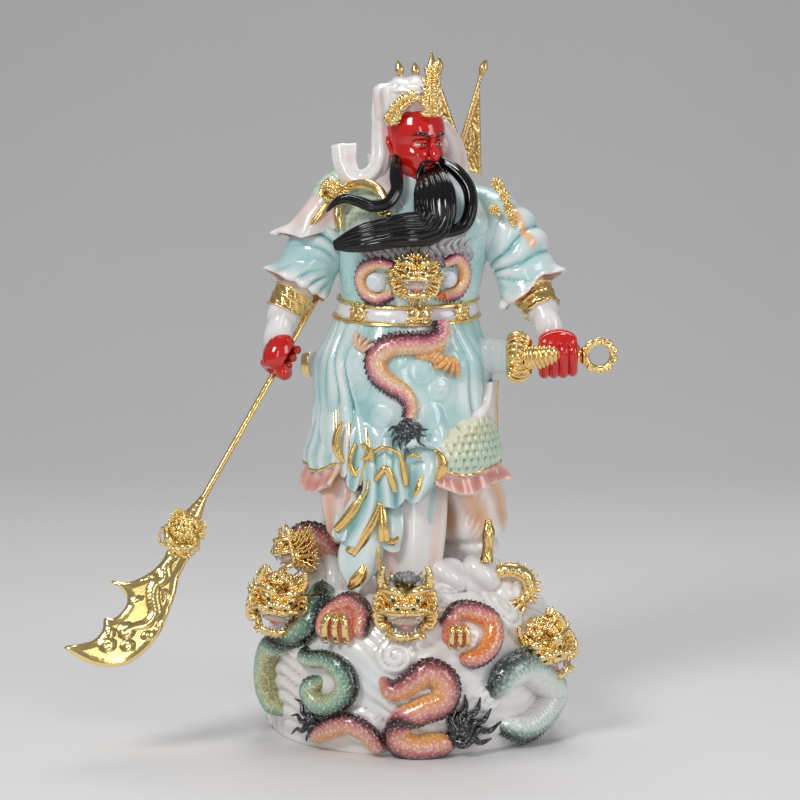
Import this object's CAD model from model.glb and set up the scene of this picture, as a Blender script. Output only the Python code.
"""The looks of the altar statue: carved, glazed and gilt surfaces over the fixed frame.

Lengths in this script are millimetres, as the statue was drawn, and become metres where a mesh is made.
The figure faces -Y, +X is to the viewer's right, and +Z is up from the plinth's underside.
"""
import math
from collections import namedtuple

import bpy
import numpy as np
from mathutils.geometry import delaunay_2d_cdt
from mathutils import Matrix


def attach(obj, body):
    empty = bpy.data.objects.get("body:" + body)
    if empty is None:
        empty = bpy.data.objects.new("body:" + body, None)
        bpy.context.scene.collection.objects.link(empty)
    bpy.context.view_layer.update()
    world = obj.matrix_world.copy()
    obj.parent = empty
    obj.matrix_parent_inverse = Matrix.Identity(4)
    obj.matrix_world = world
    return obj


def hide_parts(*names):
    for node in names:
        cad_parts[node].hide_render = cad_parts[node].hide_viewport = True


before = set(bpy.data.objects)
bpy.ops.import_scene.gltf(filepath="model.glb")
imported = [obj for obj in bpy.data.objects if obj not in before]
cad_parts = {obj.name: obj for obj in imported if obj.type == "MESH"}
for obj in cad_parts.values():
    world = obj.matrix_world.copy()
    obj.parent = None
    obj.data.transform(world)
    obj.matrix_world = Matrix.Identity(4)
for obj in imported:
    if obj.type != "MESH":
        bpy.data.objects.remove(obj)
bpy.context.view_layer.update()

METRE = 0.001
PLINTH_HEIGHT = 106.0
PLINTH_HALF_WIDTH = 103.0
PLINTH_HALF_DEPTH = 92.0
FRONT = np.array([0.0, -1.0, 0.0])
UP = np.array([0.0, 0.0, 1.0])


# Colours of the paints and glazes

def tint(code):
    """A paint's colour from its hexadecimal sRGB code, as linear light."""
    part = np.array([int(code[i:i + 2], 16) / 255 for i in (1, 3, 5)])
    return np.where(part <= 0.04045, part / 12.92, ((part + 0.055) / 1.055) ** 2.4)


MINT = tint("#b3dad9")
MINT_PALE = tint("#dbedec")
MINT_DEEP = tint("#6aa9aa")
PEARL = tint("#eeeae7")
PEARL_SHADE = tint("#b5aba8")
BLUSH = tint("#ecc3b8")
CORAL = tint("#e2604c")
ROSE_PALE = tint("#dd8d86")
AMBER = tint("#f0892c")
GLOW = tint("#f7b765")
APRICOT = tint("#f0b181")
FOLD = tint("#7fa9a9")
SCALE_GREEN = tint("#c6dcc0")
SCALE_SHADE = tint("#8fb39a")
SLATE = tint("#4d575e")
INK = tint("#1b1c20")
GREY_HAIR = tint("#8f9496")
GREY_LOCK = tint("#6d6c7a")
MAW = tint("#d9c6b6")
OCHRE = tint("#e3d7a2")
SASH = tint("#dfdae3")
PEARL_BALL = tint("#e4eef4")
SCABBARD = tint("#b9bcc0")
EYE_WHITE = tint("#efe6d8")
VERMILION = tint("#cf130b")
VERMILION_DEEP = tint("#7d0806")
BLACK = tint("#060607")


# Shapes

def unit(a):
    """Vectors made one long."""
    return a / np.maximum(np.linalg.norm(a, axis=-1, keepdims=True), 1e-12)


def smooth(x, low, high):
    """From 0 at low to 1 at high, with soft ends."""
    share = np.clip((np.asarray(x, float) - low) / (high - low), 0, 1)
    return share * share * (3 - 2 * share)


def blend(a, b, share):
    """Between colours or points a and b, by a share at each point."""
    share = np.asarray(share, float)[..., None]
    return a * (1 - share) + b * share


def bump(x, middle, width):
    """A soft hill of height 1 at the middle."""
    return np.exp(-(((x - middle) / width) ** 2))


def ridges(x):
    """Round ridges one apart with narrow grooves between them, from -1 to 1."""
    return 2 * np.abs(np.sin(np.pi * x)) ** 0.7 - 1


def scroll(dx, dz, pitch, hand):
    """The ridges of a scroll that winds out from its middle to one hand, from -1 to 1."""
    return ridges(np.hypot(dx, dz) / pitch - hand * np.arctan2(dz, dx) / (2 * np.pi))


def signed(turn):
    """A turn in degrees as -180 to 180."""
    return (turn + 180) % 360 - 180


def mottle(points, size, seed):
    """A soft cloudy pattern from -1 to 1 over points."""
    chance = np.random.default_rng(seed)
    total = 0
    for _ in range(5):
        way = unit(chance.normal(size=3)) * 2 * np.pi / (size * chance.uniform(0.7, 1.6))
        total = total + np.sin(points @ way + chance.uniform(0, 6.28))
    return total / 3


def read_table(rows, s):
    """Rows of [s, value, value...] read at each s, on a smooth curve through the rows."""
    rows = np.asarray(rows, float)
    at_rows, values = rows[:, 0], rows[:, 1:]
    slopes = np.gradient(values, at_rows, axis=0)
    s = np.clip(np.asarray(s, float), at_rows[0], at_rows[-1])
    i = np.clip(np.searchsorted(at_rows, s) - 1, 0, len(rows) - 2)
    step = at_rows[i + 1] - at_rows[i]
    t = ((s - at_rows[i]) / step)[..., None]
    step = step[..., None]
    return ((2 * t**3 - 3 * t**2 + 1) * values[i] + (t**3 - 2 * t**2 + t) * step * slopes[i]
            + (3 * t**2 - 2 * t**3) * values[i + 1] + (t**3 - t**2) * step * slopes[i + 1])


def spread(values, t):
    """Values or points spread evenly over 0 to 1, read at t."""
    values = np.asarray(values, float).reshape(len(values), -1)
    found = read_table(np.column_stack([np.linspace(0, 1, len(values)), values]), t)
    return found if values.shape[1] > 1 else found[..., 0]


def length_of(line):
    return np.linalg.norm(np.diff(line, axis=0), axis=1).sum()


def way_along(line):
    """How far each point of a line lies along it."""
    return np.concatenate([[0], np.cumsum(np.linalg.norm(np.diff(line, axis=0), axis=1))])


def along_line(points, count):
    """A smooth line through points, as count points an equal way apart."""
    points = np.asarray(points, float)
    reach = way_along(points)
    fine = read_table(np.column_stack([reach, points]), np.linspace(0, reach[-1], 8 * count))
    way = way_along(fine)
    stops = np.linspace(0, way[-1], count)
    return np.column_stack([np.interp(stops, way, fine[:, k]) for k in range(points.shape[1])])


class Skin:
    """A surface as rows and columns of points, with a colour at each point."""

    def __init__(self, points, ring=True):
        self.points = np.asarray(points, float)
        self.ring = ring
        self.colour = np.ones(self.points.shape)

    def normals(self):
        p = self.points
        if self.ring:
            across = np.roll(p, -1, 1) - np.roll(p, 1, 1)
        else:
            across = np.gradient(p, axis=1)
        return unit(np.cross(across, np.gradient(p, axis=0)))

    def push(self, height):
        self.points = self.points + self.normals() * np.asarray(height)[..., None]
        return self

    def paint(self, colour):
        self.colour = np.broadcast_to(colour, self.points.shape).copy()
        return self

    def placed(self, place):
        self.points = place(self.points)
        return self

    @property
    def reach(self):
        """How far along the rows each row lies, in millimetres."""
        return way_along(self.points.mean(axis=1))[:, None]


def all_turns(count):
    """Turns round the upright in degrees, as a row."""
    return np.linspace(0, 360, count, endpoint=False)[None, :]


def column(low, high, count):
    """Evenly spaced values, as a column."""
    return np.linspace(low, high, count)[:, None]


def tower(turns, tiers, point):
    """A skin round the upright: point(turn in degrees, tier from 0 to 1)."""
    return Skin(point(all_turns(turns), column(0, 1, tiers + 1)))


def blob(centre, radii, turns, tiers):
    """An egg from its centre and its three radii."""
    def point(turn, tier):
        rise = np.pi * (0.02 + 0.96 * tier)
        ring = np.sin(rise)
        a = np.radians(turn)
        return np.stack([centre[0] + radii[0] * ring * np.sin(a),
                         centre[1] - radii[1] * ring * np.cos(a),
                         centre[2] - radii[2] * np.cos(rise) + 0 * a], -1)
    return tower(turns, tiers, point)


SWEEP_POINTS = 200


def sweep(points, section, steps, lift=FRONT, stops=None):
    """A skin along a line, with rows at the stops (0 to 1): section(t) gives distances
    towards the lift and across it."""
    stops = np.linspace(0, 1, steps + 1) if stops is None else stops
    path = along_line(points, max(SWEEP_POINTS, steps + 1))
    along = unit(np.gradient(path, axis=0))
    high = np.broadcast_to(lift(path) if callable(lift) else lift, path.shape)
    high = unit(high - (high * along).sum(1, keepdims=True) * along)
    wide = np.cross(along, high)
    share = np.linspace(0, 1, len(path))
    path, high, wide = (
        np.column_stack([np.interp(stops, share, a[:, k]) for k in range(3)])[:, None]
        for a in (path, high, wide))
    rise, aside = section(np.linspace(0, 1, len(stops))[:, None])
    return Skin(path + high * rise[..., None] + wide * aside[..., None])


def around(sides):
    """Angles round a swept body in radians, as a row."""
    return np.linspace(0, 2 * np.pi, sides, endpoint=False)[None, :]


def taper(points, widths, sides, steps, flat=1.0, lift=FRONT):
    """A rounded body whose half widths are spread along its points; flat squeezes its lift."""
    def section(t):
        width = spread(widths, t)
        return width * flat * np.cos(around(sides)), width * np.sin(around(sides))
    return sweep(points, section, steps, lift)


BAND_COLUMNS = 18
BAND_ACROSS = np.concatenate([np.linspace(-1, 1, BAND_COLUMNS), np.linspace(1, -1, BAND_COLUMNS)])[None, :]


def band(points, widths, thickness, steps, sway):
    """A flat band of cloth along points with rounded edges; sway(t, c) bends it across its width."""
    side = np.repeat([1.0, -1.0], BAND_COLUMNS)[None, :]

    def section(t):
        rise = side * thickness / 2 * np.sqrt(1.02 - 0.9 * BAND_ACROSS**4)
        return rise + sway(t, BAND_ACROSS), spread(widths, t) / 2 * BAND_ACROSS
    return sweep(points, section, steps)


def sided(side, *points):
    """Points of the right side, or their mirror images where the side is -1."""
    return [(side * x, y, z) for x, y, z in points]


def turned(centre, yaw, pitch=0.0, roll=0.0, size=1.0):
    """Sets what was made about the origin, looking along -Y, in its place."""
    z, x, y = (math.radians(a) for a in (yaw, pitch, roll))
    rz = np.array([[math.cos(z), -math.sin(z), 0], [math.sin(z), math.cos(z), 0], [0, 0, 1]])
    rx = np.array([[1, 0, 0], [0, math.cos(x), -math.sin(x)], [0, math.sin(x), math.cos(x)]])
    ry = np.array([[math.cos(y), 0, math.sin(y)], [0, 1, 0], [-math.sin(y), 0, math.cos(y)]])
    matrix = (rz @ rx @ ry).T * size
    return lambda points: points @ matrix + np.asarray(centre, float)


class Piece:
    """One mesh of the statue, gathered from skins."""

    def __init__(self, name):
        self.name = name
        self.points, self.colours, self.quads, self.corners = [], [], [], []
        self.count = 0

    def _points(self, points, colours):
        start = self.count
        self.points.append(points.reshape(-1, 3))
        self.colours.append(colours.reshape(-1, 3))
        self.count += self.points[-1].shape[0]
        return start

    def add(self, *skins):
        for skin in skins:
            rows, columns = skin.points.shape[:2]
            index = self._points(skin.points, skin.colour) + np.arange(rows * columns).reshape(rows, columns)
            left, right = (index, np.roll(index, -1, 1)) if skin.ring else (index[:, :-1], index[:, 1:])
            self.quads.append(np.stack([left[:-1], right[:-1], right[1:], left[1:]], -1).reshape(-1, 4))
            if skin.ring:
                for row, flip in ((0, True), (rows - 1, False)):
                    middle = self._points(skin.points[row].mean(0), skin.colour[row].mean(0))
                    a, b = (right[row], left[row]) if flip else (left[row], right[row])
                    self.corners.append(np.column_stack([np.full(columns, middle), a, b]))
        return self

    def lay(self, place, skins, colour=None):
        """Adds skins made about the origin, each set in its place, in one colour where it is given."""
        for skin in skins:
            self.add(skin.placed(place) if colour is None else skin.placed(place).paint(colour))

    def add_sheet(self, skin, thickness, back):
        """A sheet of cloth: the skin, its back in its own colour at a thickness behind it, and a rim."""
        front = skin.points
        rear = front - skin.normals() * thickness
        rows, columns = front.shape[:2]
        grid = np.arange(rows * columns).reshape(rows, columns)
        a = grid + self._points(front, skin.colour)
        b = grid + self._points(rear, np.broadcast_to(back, front.shape))
        for g, flip in ((a, False), (b, True)):
            quad = np.stack([g[:-1, :-1], g[:-1, 1:], g[1:, 1:], g[1:, :-1]], -1).reshape(-1, 4)
            self.quads.append(quad[:, ::-1] if flip else quad)
        rims = (((a[0], b[0]), True), ((a[-1], b[-1]), False),
                ((a[:, 0], b[:, 0]), False), ((a[:, -1], b[:, -1]), True))
        for (near, far), flip in rims:
            quad = np.stack([near[:-1], near[1:], far[1:], far[:-1]], -1)
            self.quads.append(quad[:, ::-1] if flip else quad)

    def make(self, material, slot="painted_resin", node="statue"):
        """Turns what was gathered into a mesh on the root body, dressed in place of a solid node."""
        points = np.concatenate(self.points) * METRE
        points[:, 2] = np.maximum(points[:, 2], 0)
        colours = np.concatenate(self.colours)
        quads, corners = np.concatenate(self.quads), np.concatenate(self.corners)
        mesh = bpy.data.meshes.new(self.name)
        mesh.vertices.add(len(points))
        mesh.vertices.foreach_set("co", points.ravel())
        mesh.loops.add(quads.size + corners.size)
        mesh.loops.foreach_set("vertex_index", np.concatenate([quads.ravel(), corners.ravel()]))
        mesh.polygons.add(len(quads) + len(corners))
        starts = np.concatenate([np.arange(len(quads)) * 4, quads.size + np.arange(len(corners)) * 3])
        mesh.polygons.foreach_set("loop_start", starts)
        mesh.update(calc_edges=True)
        mesh.polygons.foreach_set("use_smooth", np.ones(len(mesh.polygons), bool))
        store(mesh, "paint", np.column_stack([colours, np.ones(len(colours))]))
        store(mesh, "hollow", hollows(mesh, points))
        mesh.materials.append(material)
        piece = bpy.data.objects.new(self.name, mesh)
        bpy.context.scene.collection.objects.link(piece)
        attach(piece, "root")
        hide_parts(node)


def store(mesh, name, values):
    """Keeps a value or a colour at each point of a mesh for its finish."""
    if values.ndim == 2:
        mesh.color_attributes.new(name, "FLOAT_COLOR", "POINT").data.foreach_set(
            "color", values.astype(np.float32).ravel())
    else:
        mesh.attributes.new(name, "FLOAT", "POINT").data.foreach_set("value", values.astype(np.float32))


HOLLOW_ROUNDS = 7
HOLLOW_DEPTH = 0.0007


def hollows(mesh, points):
    """How deep each point lies among its neighbours: 1 in a crease, -1 on a ridge."""
    edges = np.empty(len(mesh.edges) * 2, int)
    mesh.edges.foreach_get("vertices", edges)
    a, b = edges.reshape(-1, 2).T
    degree = np.maximum(np.bincount(edges, minlength=len(points)), 1)
    even = points.copy()
    for _ in range(HOLLOW_ROUNDS):
        pull = [np.bincount(a, even[b, k], len(points)) + np.bincount(b, even[a, k], len(points))
                for k in range(3)]
        even = 0.5 * even + 0.5 * np.column_stack(pull) / degree[:, None]
    normals = np.empty(len(points) * 3)
    mesh.vertices.foreach_get("normal", normals)
    return np.clip(((even - points) * normals.reshape(-1, 3)).sum(1) / HOLLOW_DEPTH, -1, 1)


# Surfaces that others are laid on, as in the solid model

def at(x, y, z):
    """A point from its height above the figure's soles."""
    x, y, z = np.broadcast_arrays(np.asarray(x, float), y, z)
    return np.stack([x, y, PLINTH_HEIGHT + z], -1)


def line_at(points):
    return [at(*p) for p in points]


PLINTH_SHAPE = [[0, 0.955], [0.12, 0.99], [0.45, 1.02], [0.72, 0.97], [0.88, 0.86], [1, 0.66]]
SKIRT_TOP = 196
TORSO_FOOT, TORSO_TOP = 190, 286
LEG_FOOT, LEG_TOP = -6, 84
HOOD_FOOT, HOOD_TOP = 262, 348
SKIRT = [  # height, middle, half width, half depth
    [78, -6, 0, 57, 49], [90, -6, 0, 62, 53], [104, -6, 0, 61, 52], [127, -6, 0, 61, 50],
    [160, -5, 0, 61, 47], [178, -4, 0, 53, 42], [196, -2, 0, 48, 37],
]
TORSO = [
    [190, -2, 0, 47, 36], [214, 0, 0, 50, 40], [238, 1, 0, 54, 43], [258, 2, 0, 54, 39],
    [273, 3, 2, 44, 30], [286, 3, 3, 24, 20],
]


def on_plinth(turn, height, lift=0.0):
    """A place on the mound from its turn and its share of the plinth's height."""
    share = read_table(PLINTH_SHAPE, height)[..., 0]
    a = np.radians(turn)
    x = (PLINTH_HALF_WIDTH * share + lift) * np.sin(a)
    y = -(PLINTH_HALF_DEPTH * share + lift) * np.cos(a)
    return np.stack(np.broadcast_arrays(x, y, PLINTH_HEIGHT * np.asarray(height, float)), -1)


def on_body(rows, turn, z, lift=0.0):
    """Rows give a body's middle, half width and half depth at some heights above the soles."""
    x, y, wide, deep = np.moveaxis(read_table(rows, z), -1, 0)
    a = np.radians(turn)
    return at(x + (wide + lift) * np.sin(a), y - (deep + lift) * np.cos(a), z)


def outward(path):
    """Level, away from the statue's upright middle line."""
    return unit(path * [1, 1, 0])


def route(surface, pairs, count, lift):
    """A line over a surface through pairs of turn and height."""
    pairs = np.asarray(pairs, float)
    reach = way_along(surface(*pairs.T))
    fine = read_table(np.column_stack([reach, pairs]), np.linspace(0, reach[-1], count))
    return surface(fine[:, 0], fine[:, 1], lift)


def over_skirt(turn, z, lift=0.0):
    """A point over the robe's skirt."""
    return on_body(SKIRT, turn, z, lift)


def over_torso(turn, z, lift=0.0):
    """A point over the robe above the belt."""
    return on_body(TORSO, turn, z, lift)


# Finishes

class Wire:
    """A shader value that can stand in a sum."""

    def __init__(self, finish, socket):
        self.finish = finish
        self.socket = socket

    def _maths(self, kind, *values):
        return self.finish.node("ShaderNodeMath", {"operation": kind}, dict(enumerate(values)))

    def __add__(self, other):
        return self._maths("ADD", self, other)

    def __sub__(self, other):
        return self._maths("SUBTRACT", self, other)

    def __rsub__(self, other):
        return self._maths("SUBTRACT", other, self)

    def __mul__(self, other):
        return self._maths("MULTIPLY", self, other)

    def clamp(self, low, high):
        return self._maths("MINIMUM", self._maths("MAXIMUM", self, low), high)

    __radd__ = __add__
    __rmul__ = __mul__


BUMP_DISTANCE = 0.0004


class Finish:
    """A material and its nodes."""

    def __init__(self, name):
        self.material = bpy.data.materials.new(name)
        self.material.use_nodes = True
        self.tree = self.material.node_tree
        self.tree.nodes.clear()

    def node(self, kind, settings=None, sockets=None, out=0):
        node = self.tree.nodes.new(kind)
        for key, value in (settings or {}).items():
            setattr(node, key, value)
        for key, value in (sockets or {}).items():
            socket = node.inputs[key]
            if isinstance(value, Wire):
                self.tree.links.new(value.socket, socket)
            elif socket.type == "RGBA":
                socket.default_value = (*value, 1.0)
            else:
                socket.default_value = value
        return Wire(self, node.outputs[out])

    def stored(self, name, out=2):
        """A value or colour stored on the mesh."""
        return self.node("ShaderNodeAttribute", {"attribute_name": name}, out=out)

    def place(self):
        """Where a point lies on the object, which doesn't move."""
        return self.node("ShaderNodeTexCoord", out=3)

    def noise(self, scale, detail=3.0):
        return self.node("ShaderNodeTexNoise", sockets={
            "Vector": self.place(), "Scale": scale, "Detail": detail})

    def cells(self, scale, kind):
        """How far each point lies from the middle of its cell."""
        return self.node("ShaderNodeTexVoronoi", {"feature": kind}, {"Vector": self.place(), "Scale": scale})

    def mix(self, share, a, b, kind="MIX"):
        return self.node("ShaderNodeMix", {"data_type": "RGBA", "blend_type": kind},
                         {0: share, 6: a, 7: b}, out=2)

    def bumpy(self, height, strength):
        return self.node("ShaderNodeBump", sockets={
            "Strength": strength, "Distance": BUMP_DISTANCE, "Height": height})

    def surface(self, **sockets):
        named = {key.replace("_", " "): value for key, value in sockets.items()}
        shader = self.node("ShaderNodeBsdfPrincipled", sockets=named)
        output = self.tree.nodes.new("ShaderNodeOutputMaterial")
        self.tree.links.new(shader.socket, output.inputs["Surface"])
        return self.material


SCALES_PER_METRE = 400.0
HAMMER_MARKS_PER_METRE = 420.0


def glazed(name, roughness=0.2, grain=0.2, chalk=0.25, scaled=0.0):
    """Painted resin under a pearly glaze: cloudy, darker where the paint pools in the hollows.
    Scaled paint is darker and lower between small round scales."""
    f = Finish(name)
    paint = f.stored("paint", out=0)
    height = f.noise(260.0)
    if scaled:
        gap = f.cells(SCALES_PER_METRE, "F1")
        paint = f.mix((gap * 1.9 - 0.55).clamp(0, scaled), paint, f.mix(1.0, paint, paint, "MULTIPLY"))
        paint = f.mix(((0.36 - gap) * 1.1).clamp(0, 0.26), paint, (0.98, 0.93, 0.88))
        height = height * 0.2 - gap
    hollow = f.stored("hollow")
    pearly = f.mix((f.noise(60.0) * 1.5 - 0.6).clamp(0, chalk), paint,
                   f.mix(1.0, paint, (0.86, 0.85, 0.84), "OVERLAY"))
    pooled = f.mix((hollow * 0.9).clamp(0, 0.85), pearly, f.mix(1.0, pearly, pearly, "MULTIPLY"))
    rubbed = f.mix((hollow * -chalk * 2.0).clamp(0, chalk * 1.5), pooled,
                   f.mix(1.0, pooled, (0.95, 0.94, 0.92), "OVERLAY"))
    return f.surface(
        Base_Color=rubbed,
        Roughness=(f.noise(700.0, 2.0) * 0.1 + (roughness - 0.05)).clamp(0.05, 0.6),
        Subsurface_Weight=0.12, Subsurface_Radius=(0.5, 0.35, 0.3), Subsurface_Scale=0.003,
        Coat_Weight=0.7, Coat_Roughness=0.05,
        Normal=f.bumpy(height, grain))


def gilded(name, roughness=0.2, chased=0.3, light=(0.95, 0.62, 0.2), deep=(0.28, 0.1, 0.02)):
    """Bright gilding: browner in the hollows, rubbed pale on the ridges, lightly hammered."""
    f = Finish(name)
    hollow = f.stored("hollow")
    worn = f.noise(70.0)
    warm = f.mix((hollow * 0.95 + worn * 0.3 - 0.12).clamp(0, 0.9), light, deep)
    bright = f.mix((hollow * -0.8).clamp(0, 0.6), warm, (1.0, 0.82, 0.45))
    return f.surface(
        Base_Color=bright,
        Metallic=1.0,
        Roughness=(worn * 0.16 + (roughness - 0.08)).clamp(0.06, 0.6),
        Normal=f.bumpy(f.cells(HAMMER_MARKS_PER_METRE, "SMOOTH_F1"), chased))


def lacquered(name, roughness=0.14, deep=(0.25, 0.2, 0.2), coat=0.8):
    """Thick gloss lacquer over a painted colour."""
    f = Finish(name)
    paint = f.stored("paint", out=0)
    hollow = f.stored("hollow")
    return f.surface(
        Base_Color=f.mix((hollow * 0.8).clamp(0, 0.7), paint, f.mix(1.0, paint, deep, "MULTIPLY")),
        Roughness=(f.noise(300.0) * 0.1 + (roughness - 0.05)).clamp(0.04, 0.5),
        Coat_Weight=coat, Coat_Roughness=0.04,
        Normal=f.bumpy(f.noise(350.0), 0.12))


pearly_glaze = glazed("pearly_glaze")
enamel = glazed("scale_enamel", roughness=0.14, grain=0.7, chalk=0.1, scaled=0.45)
gilt = gilded("bright_gilding")
blade_gilt = gilded("polished_gilding", 0.16, 0.04, (0.96, 0.72, 0.26), (0.45, 0.24, 0.05))
old_gilt = gilded("antique_gilding", 0.26, 0.35, (0.68, 0.42, 0.14), (0.1, 0.045, 0.012))
red_lacquer = lacquered("red_lacquer", deep=(0.35, 0.12, 0.1))
black_lacquer = lacquered("black_lacquer", 0.1, coat=0.2)


# The plinth's clouds

CLOUD_SWIRLS = [  # turn, height share, radius, hand
    [-19, 0.2, 11, 1], [48, 0.9, 12, 1], [76, 0.25, 13, 1], [-115, 0.62, 20, -1], [180, 0.66, 24, -1],
    [108, 0.6, 18, 1], [-6, 0.66, 10, -1], [-84, 0.16, 15, 1], [-90, 0.95, 13, 1], [92, 0.9, 13, -1],
    [128, 0.22, 18, -1], [150, 0.84, 16, 1], [205, 0.24, 20, 1], [214, 0.76, 18, 1], [-130, 0.2, 15, 1],
    [88, 0.05, 12, -1], [-52, 0.66, 8, 1], [30, 0.36, 8, 1],
]
WALL_RADIUS = 96
SWIRL_PITCH = 5.6
FLOW_PITCH = 11.0
CLOUD_RISE = 4.2


def cloud_ground(turn, tier):
    """The mound's wall, and past tier 1 its rounded top."""
    over = np.clip(tier - 1, 0, 1)
    points = on_plinth(turn, np.minimum(tier, 1.0), -1.0)
    closing = np.sqrt(np.clip(1 - over**2, 0, 1)) * (1 - 0.3 * over)
    return points * np.stack(np.broadcast_arrays(closing, closing, 1 + 0 * closing + 0 * turn), -1)


def cloud_relief(turn, tier):
    """Billows with scroll lines over the mound: their rise, and how deep the lines lie."""
    rise = np.zeros(np.broadcast(turn, tier).shape)
    flow = PLINTH_HEIGHT * tier + 13 * np.sin(np.radians(3 * turn + 40))
    flow = flow + 7 * np.sin(np.radians(8 * turn) + 3 * tier)
    patches = np.sin(np.radians(5 * turn + 60)) + np.sin(7 * tier + np.radians(turn))
    lines = 2 * np.abs(np.sin(np.pi * flow / FLOW_PITCH)) ** 0.8 - 1
    lines = lines * (0.35 + 0.65 * smooth(patches, -0.6, 1))
    for turn_k, height_k, radius, hand in CLOUD_SWIRLS:
        dx = np.radians(signed(turn - turn_k)) * WALL_RADIUS
        dz = PLINTH_HEIGHT * (tier - height_k)
        away = np.hypot(dx, dz)
        inside = away < radius * 1.25
        dome = np.sqrt(np.clip(1 - (away / (radius * 1.25)) ** 2, 0, 1)) * min(radius / 15, 1.3)
        higher = inside & (dome > rise)
        lines = np.where(higher, scroll(dx, dz, SWIRL_PITCH, hand), lines)
        rise = np.where(higher, dome, rise)
    return rise, lines


def cloud_colour(points, lines):
    colour = blend(PEARL, BLUSH, 0.25 * smooth(mottle(points, 60, 3), 0.0, 1.2))
    colour = blend(colour, MINT_PALE, 0.4 * smooth(mottle(points, 70, 8), 0.0, 1.2))
    return blend(colour, PEARL_SHADE, 0.3 * smooth(-lines, 0.2, 1.0))


def cloud_mound():
    turn = all_turns(330)
    tier = np.concatenate([np.linspace(0, 1, 74), 1 + np.linspace(0, 1, 18)[1:-1] ** 0.8])[:, None]
    mound = Skin(cloud_ground(turn, tier))
    rise, lines = cloud_relief(turn, tier)
    mound.paint(cloud_colour(mound.points, lines))
    foot = smooth(tier, 0.0, 0.05)
    mound.push((CLOUD_RISE * rise - 1.0 + 0.95 * lines) * (0.35 + 0.65 * foot))
    mound.points[..., 2] = np.clip(mound.points[..., 2], 0, None)
    mound.points[0, :, 2] = 0
    return mound


CLOUD_PUFFS = [  # turn, height share, out, half width, half height
    [68, 0.94, -6, 20, 14], [-70, 1.02, -6, 20, 19], [20, 1, -14, 15, 9],
    [150, 0.98, -6, 24, 16], [-150, 0.96, -4, 26, 18], [112, 1, -8, 17, 12], [-112, 1, -8, 17, 13],
]


def cloud_puff(turn, height, out, wide, high, hand):
    centre = on_plinth(turn, height, out)
    puff = blob((0, 0, 0), (wide, wide * 0.8, high), 48, 28)
    across, up = puff.points[..., 0] / wide, puff.points[..., 2] / high
    lines = scroll(across, up, SWIRL_PITCH / (0.5 * (wide + high)), hand)
    puff.paint(cloud_colour(puff.points + centre, lines)).push(0.9 * lines)
    return puff.placed(turned(centre, yaw=turn))


# Dragons: their scaled bodies, heads and claws

Hide = namedtuple("Hide", "fin back scale belly bars")
ROSE_HIDE = Hide(tint("#3b1a22"), tint("#bf7474"), tint("#e5ac9a"), tint("#f0aa6c"), GLOW)
CORAL_HIDE = Hide(tint("#3b1a22"), tint("#cc7a7c"), tint("#eba98e"), AMBER, tint("#f5a24e"))
JADE_HIDE = Hide(tint("#17281f"), tint("#6a917e"), tint("#a6c2aa"), tint("#bcc195"), tint("#a09a62"))
APRON_HIDE = Hide(tint("#35222a"), tint("#c9707e"), tint("#eeb3a6"), tint("#f6cfa0"), tint("#f2a35c"))
ASH_HIDE = Hide(tint("#38423f"), tint("#87978f"), tint("#d3e2da"), tint("#eef0ea"), PEARL)
SCALE_PITCH = 3.3
FIN_PITCH = 2.7
CREST_ANGLE = 80


def crest_angle(side, share):
    """How far the crest leans from the top of a body, where side may change along it."""
    sides = side if isinstance(side, list) else [side, side]
    return math.radians(CREST_ANGLE) * np.clip(spread(sides, share), -1, 1)


def dragon_body(line, widths, hide, side, fins, lift=outward, sides=22, pitch=SCALE_PITCH):
    """A scaled body along a line, half sunk in what it lies on, with a crest towards one side."""
    length = length_of(line)
    steps = int(length / pitch * 4)
    phi = around(sides) - np.pi / 2 + 0.35 * np.cos(around(sides))
    travelled = column(0, length, steps + 1)
    width = spread(widths, travelled / length)
    towards = np.cos(phi - crest_angle(side, travelled / length))
    a = travelled / pitch
    b = phi * np.mean(widths) / pitch
    scales = np.abs(np.sin(np.pi * (a + b)) * np.sin(np.pi * (a - b))) ** 0.6

    def section(t):
        r = width + 0.1 * width**0.7 * (scales - 0.5)
        return r * np.cos(phi), r * np.sin(phi)
    body = sweep(line, section, steps, lift)
    colour = np.clip(read_table([[-1, *hide.bars], [-0.5, *hide.belly], [0.1, *hide.scale],
                                 [0.62, *hide.back], [0.95, *hide.fin]], towards), 0, 1)
    colour = blend(colour, PEARL, 0.35 * smooth(scales, 0.7, 1.0) * (1 - smooth(towards, 0.6, 0.95)))
    body.colour = blend(colour, colour * 0.75, 1 - smooth(scales, 0.05, 0.4))
    return [body, dragon_fins(line, widths, hide, side, fins, lift)]


def dragon_fins(line, widths, hide, side, height, lift):
    """A dark, fine-toothed crest along the body."""
    length = length_of(line)
    steps = int(length / FIN_PITCH * 5)
    travelled = column(0, length, steps + 1)
    width = spread(widths, travelled / length)
    tooth = ((travelled / FIN_PITCH) % 1) ** 0.8
    reach = width * 0.98 + height * (0.25 + 0.75 * tooth) * 0.42 * width**0.75
    out = np.array([0.0, 0.5, 1.0, 1.0, 0.5, 0.0])[None, :]
    thick = np.array([-1.0, -0.75, -0.15, 0.15, 0.75, 1.0])[None, :]
    angle = crest_angle(side, travelled / length)
    root = width * 0.7

    def section(t):
        far = root + (reach - root) * out
        aside = 0.15 * width * thick
        return far * np.cos(angle) - aside * np.sin(angle), far * np.sin(angle) + aside * np.cos(angle)
    fins = sweep(line, section, steps, lift)
    fins.colour = blend(hide.fin, blend(hide.fin, hide.back, 0.3), tooth * out)
    return fins


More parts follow.
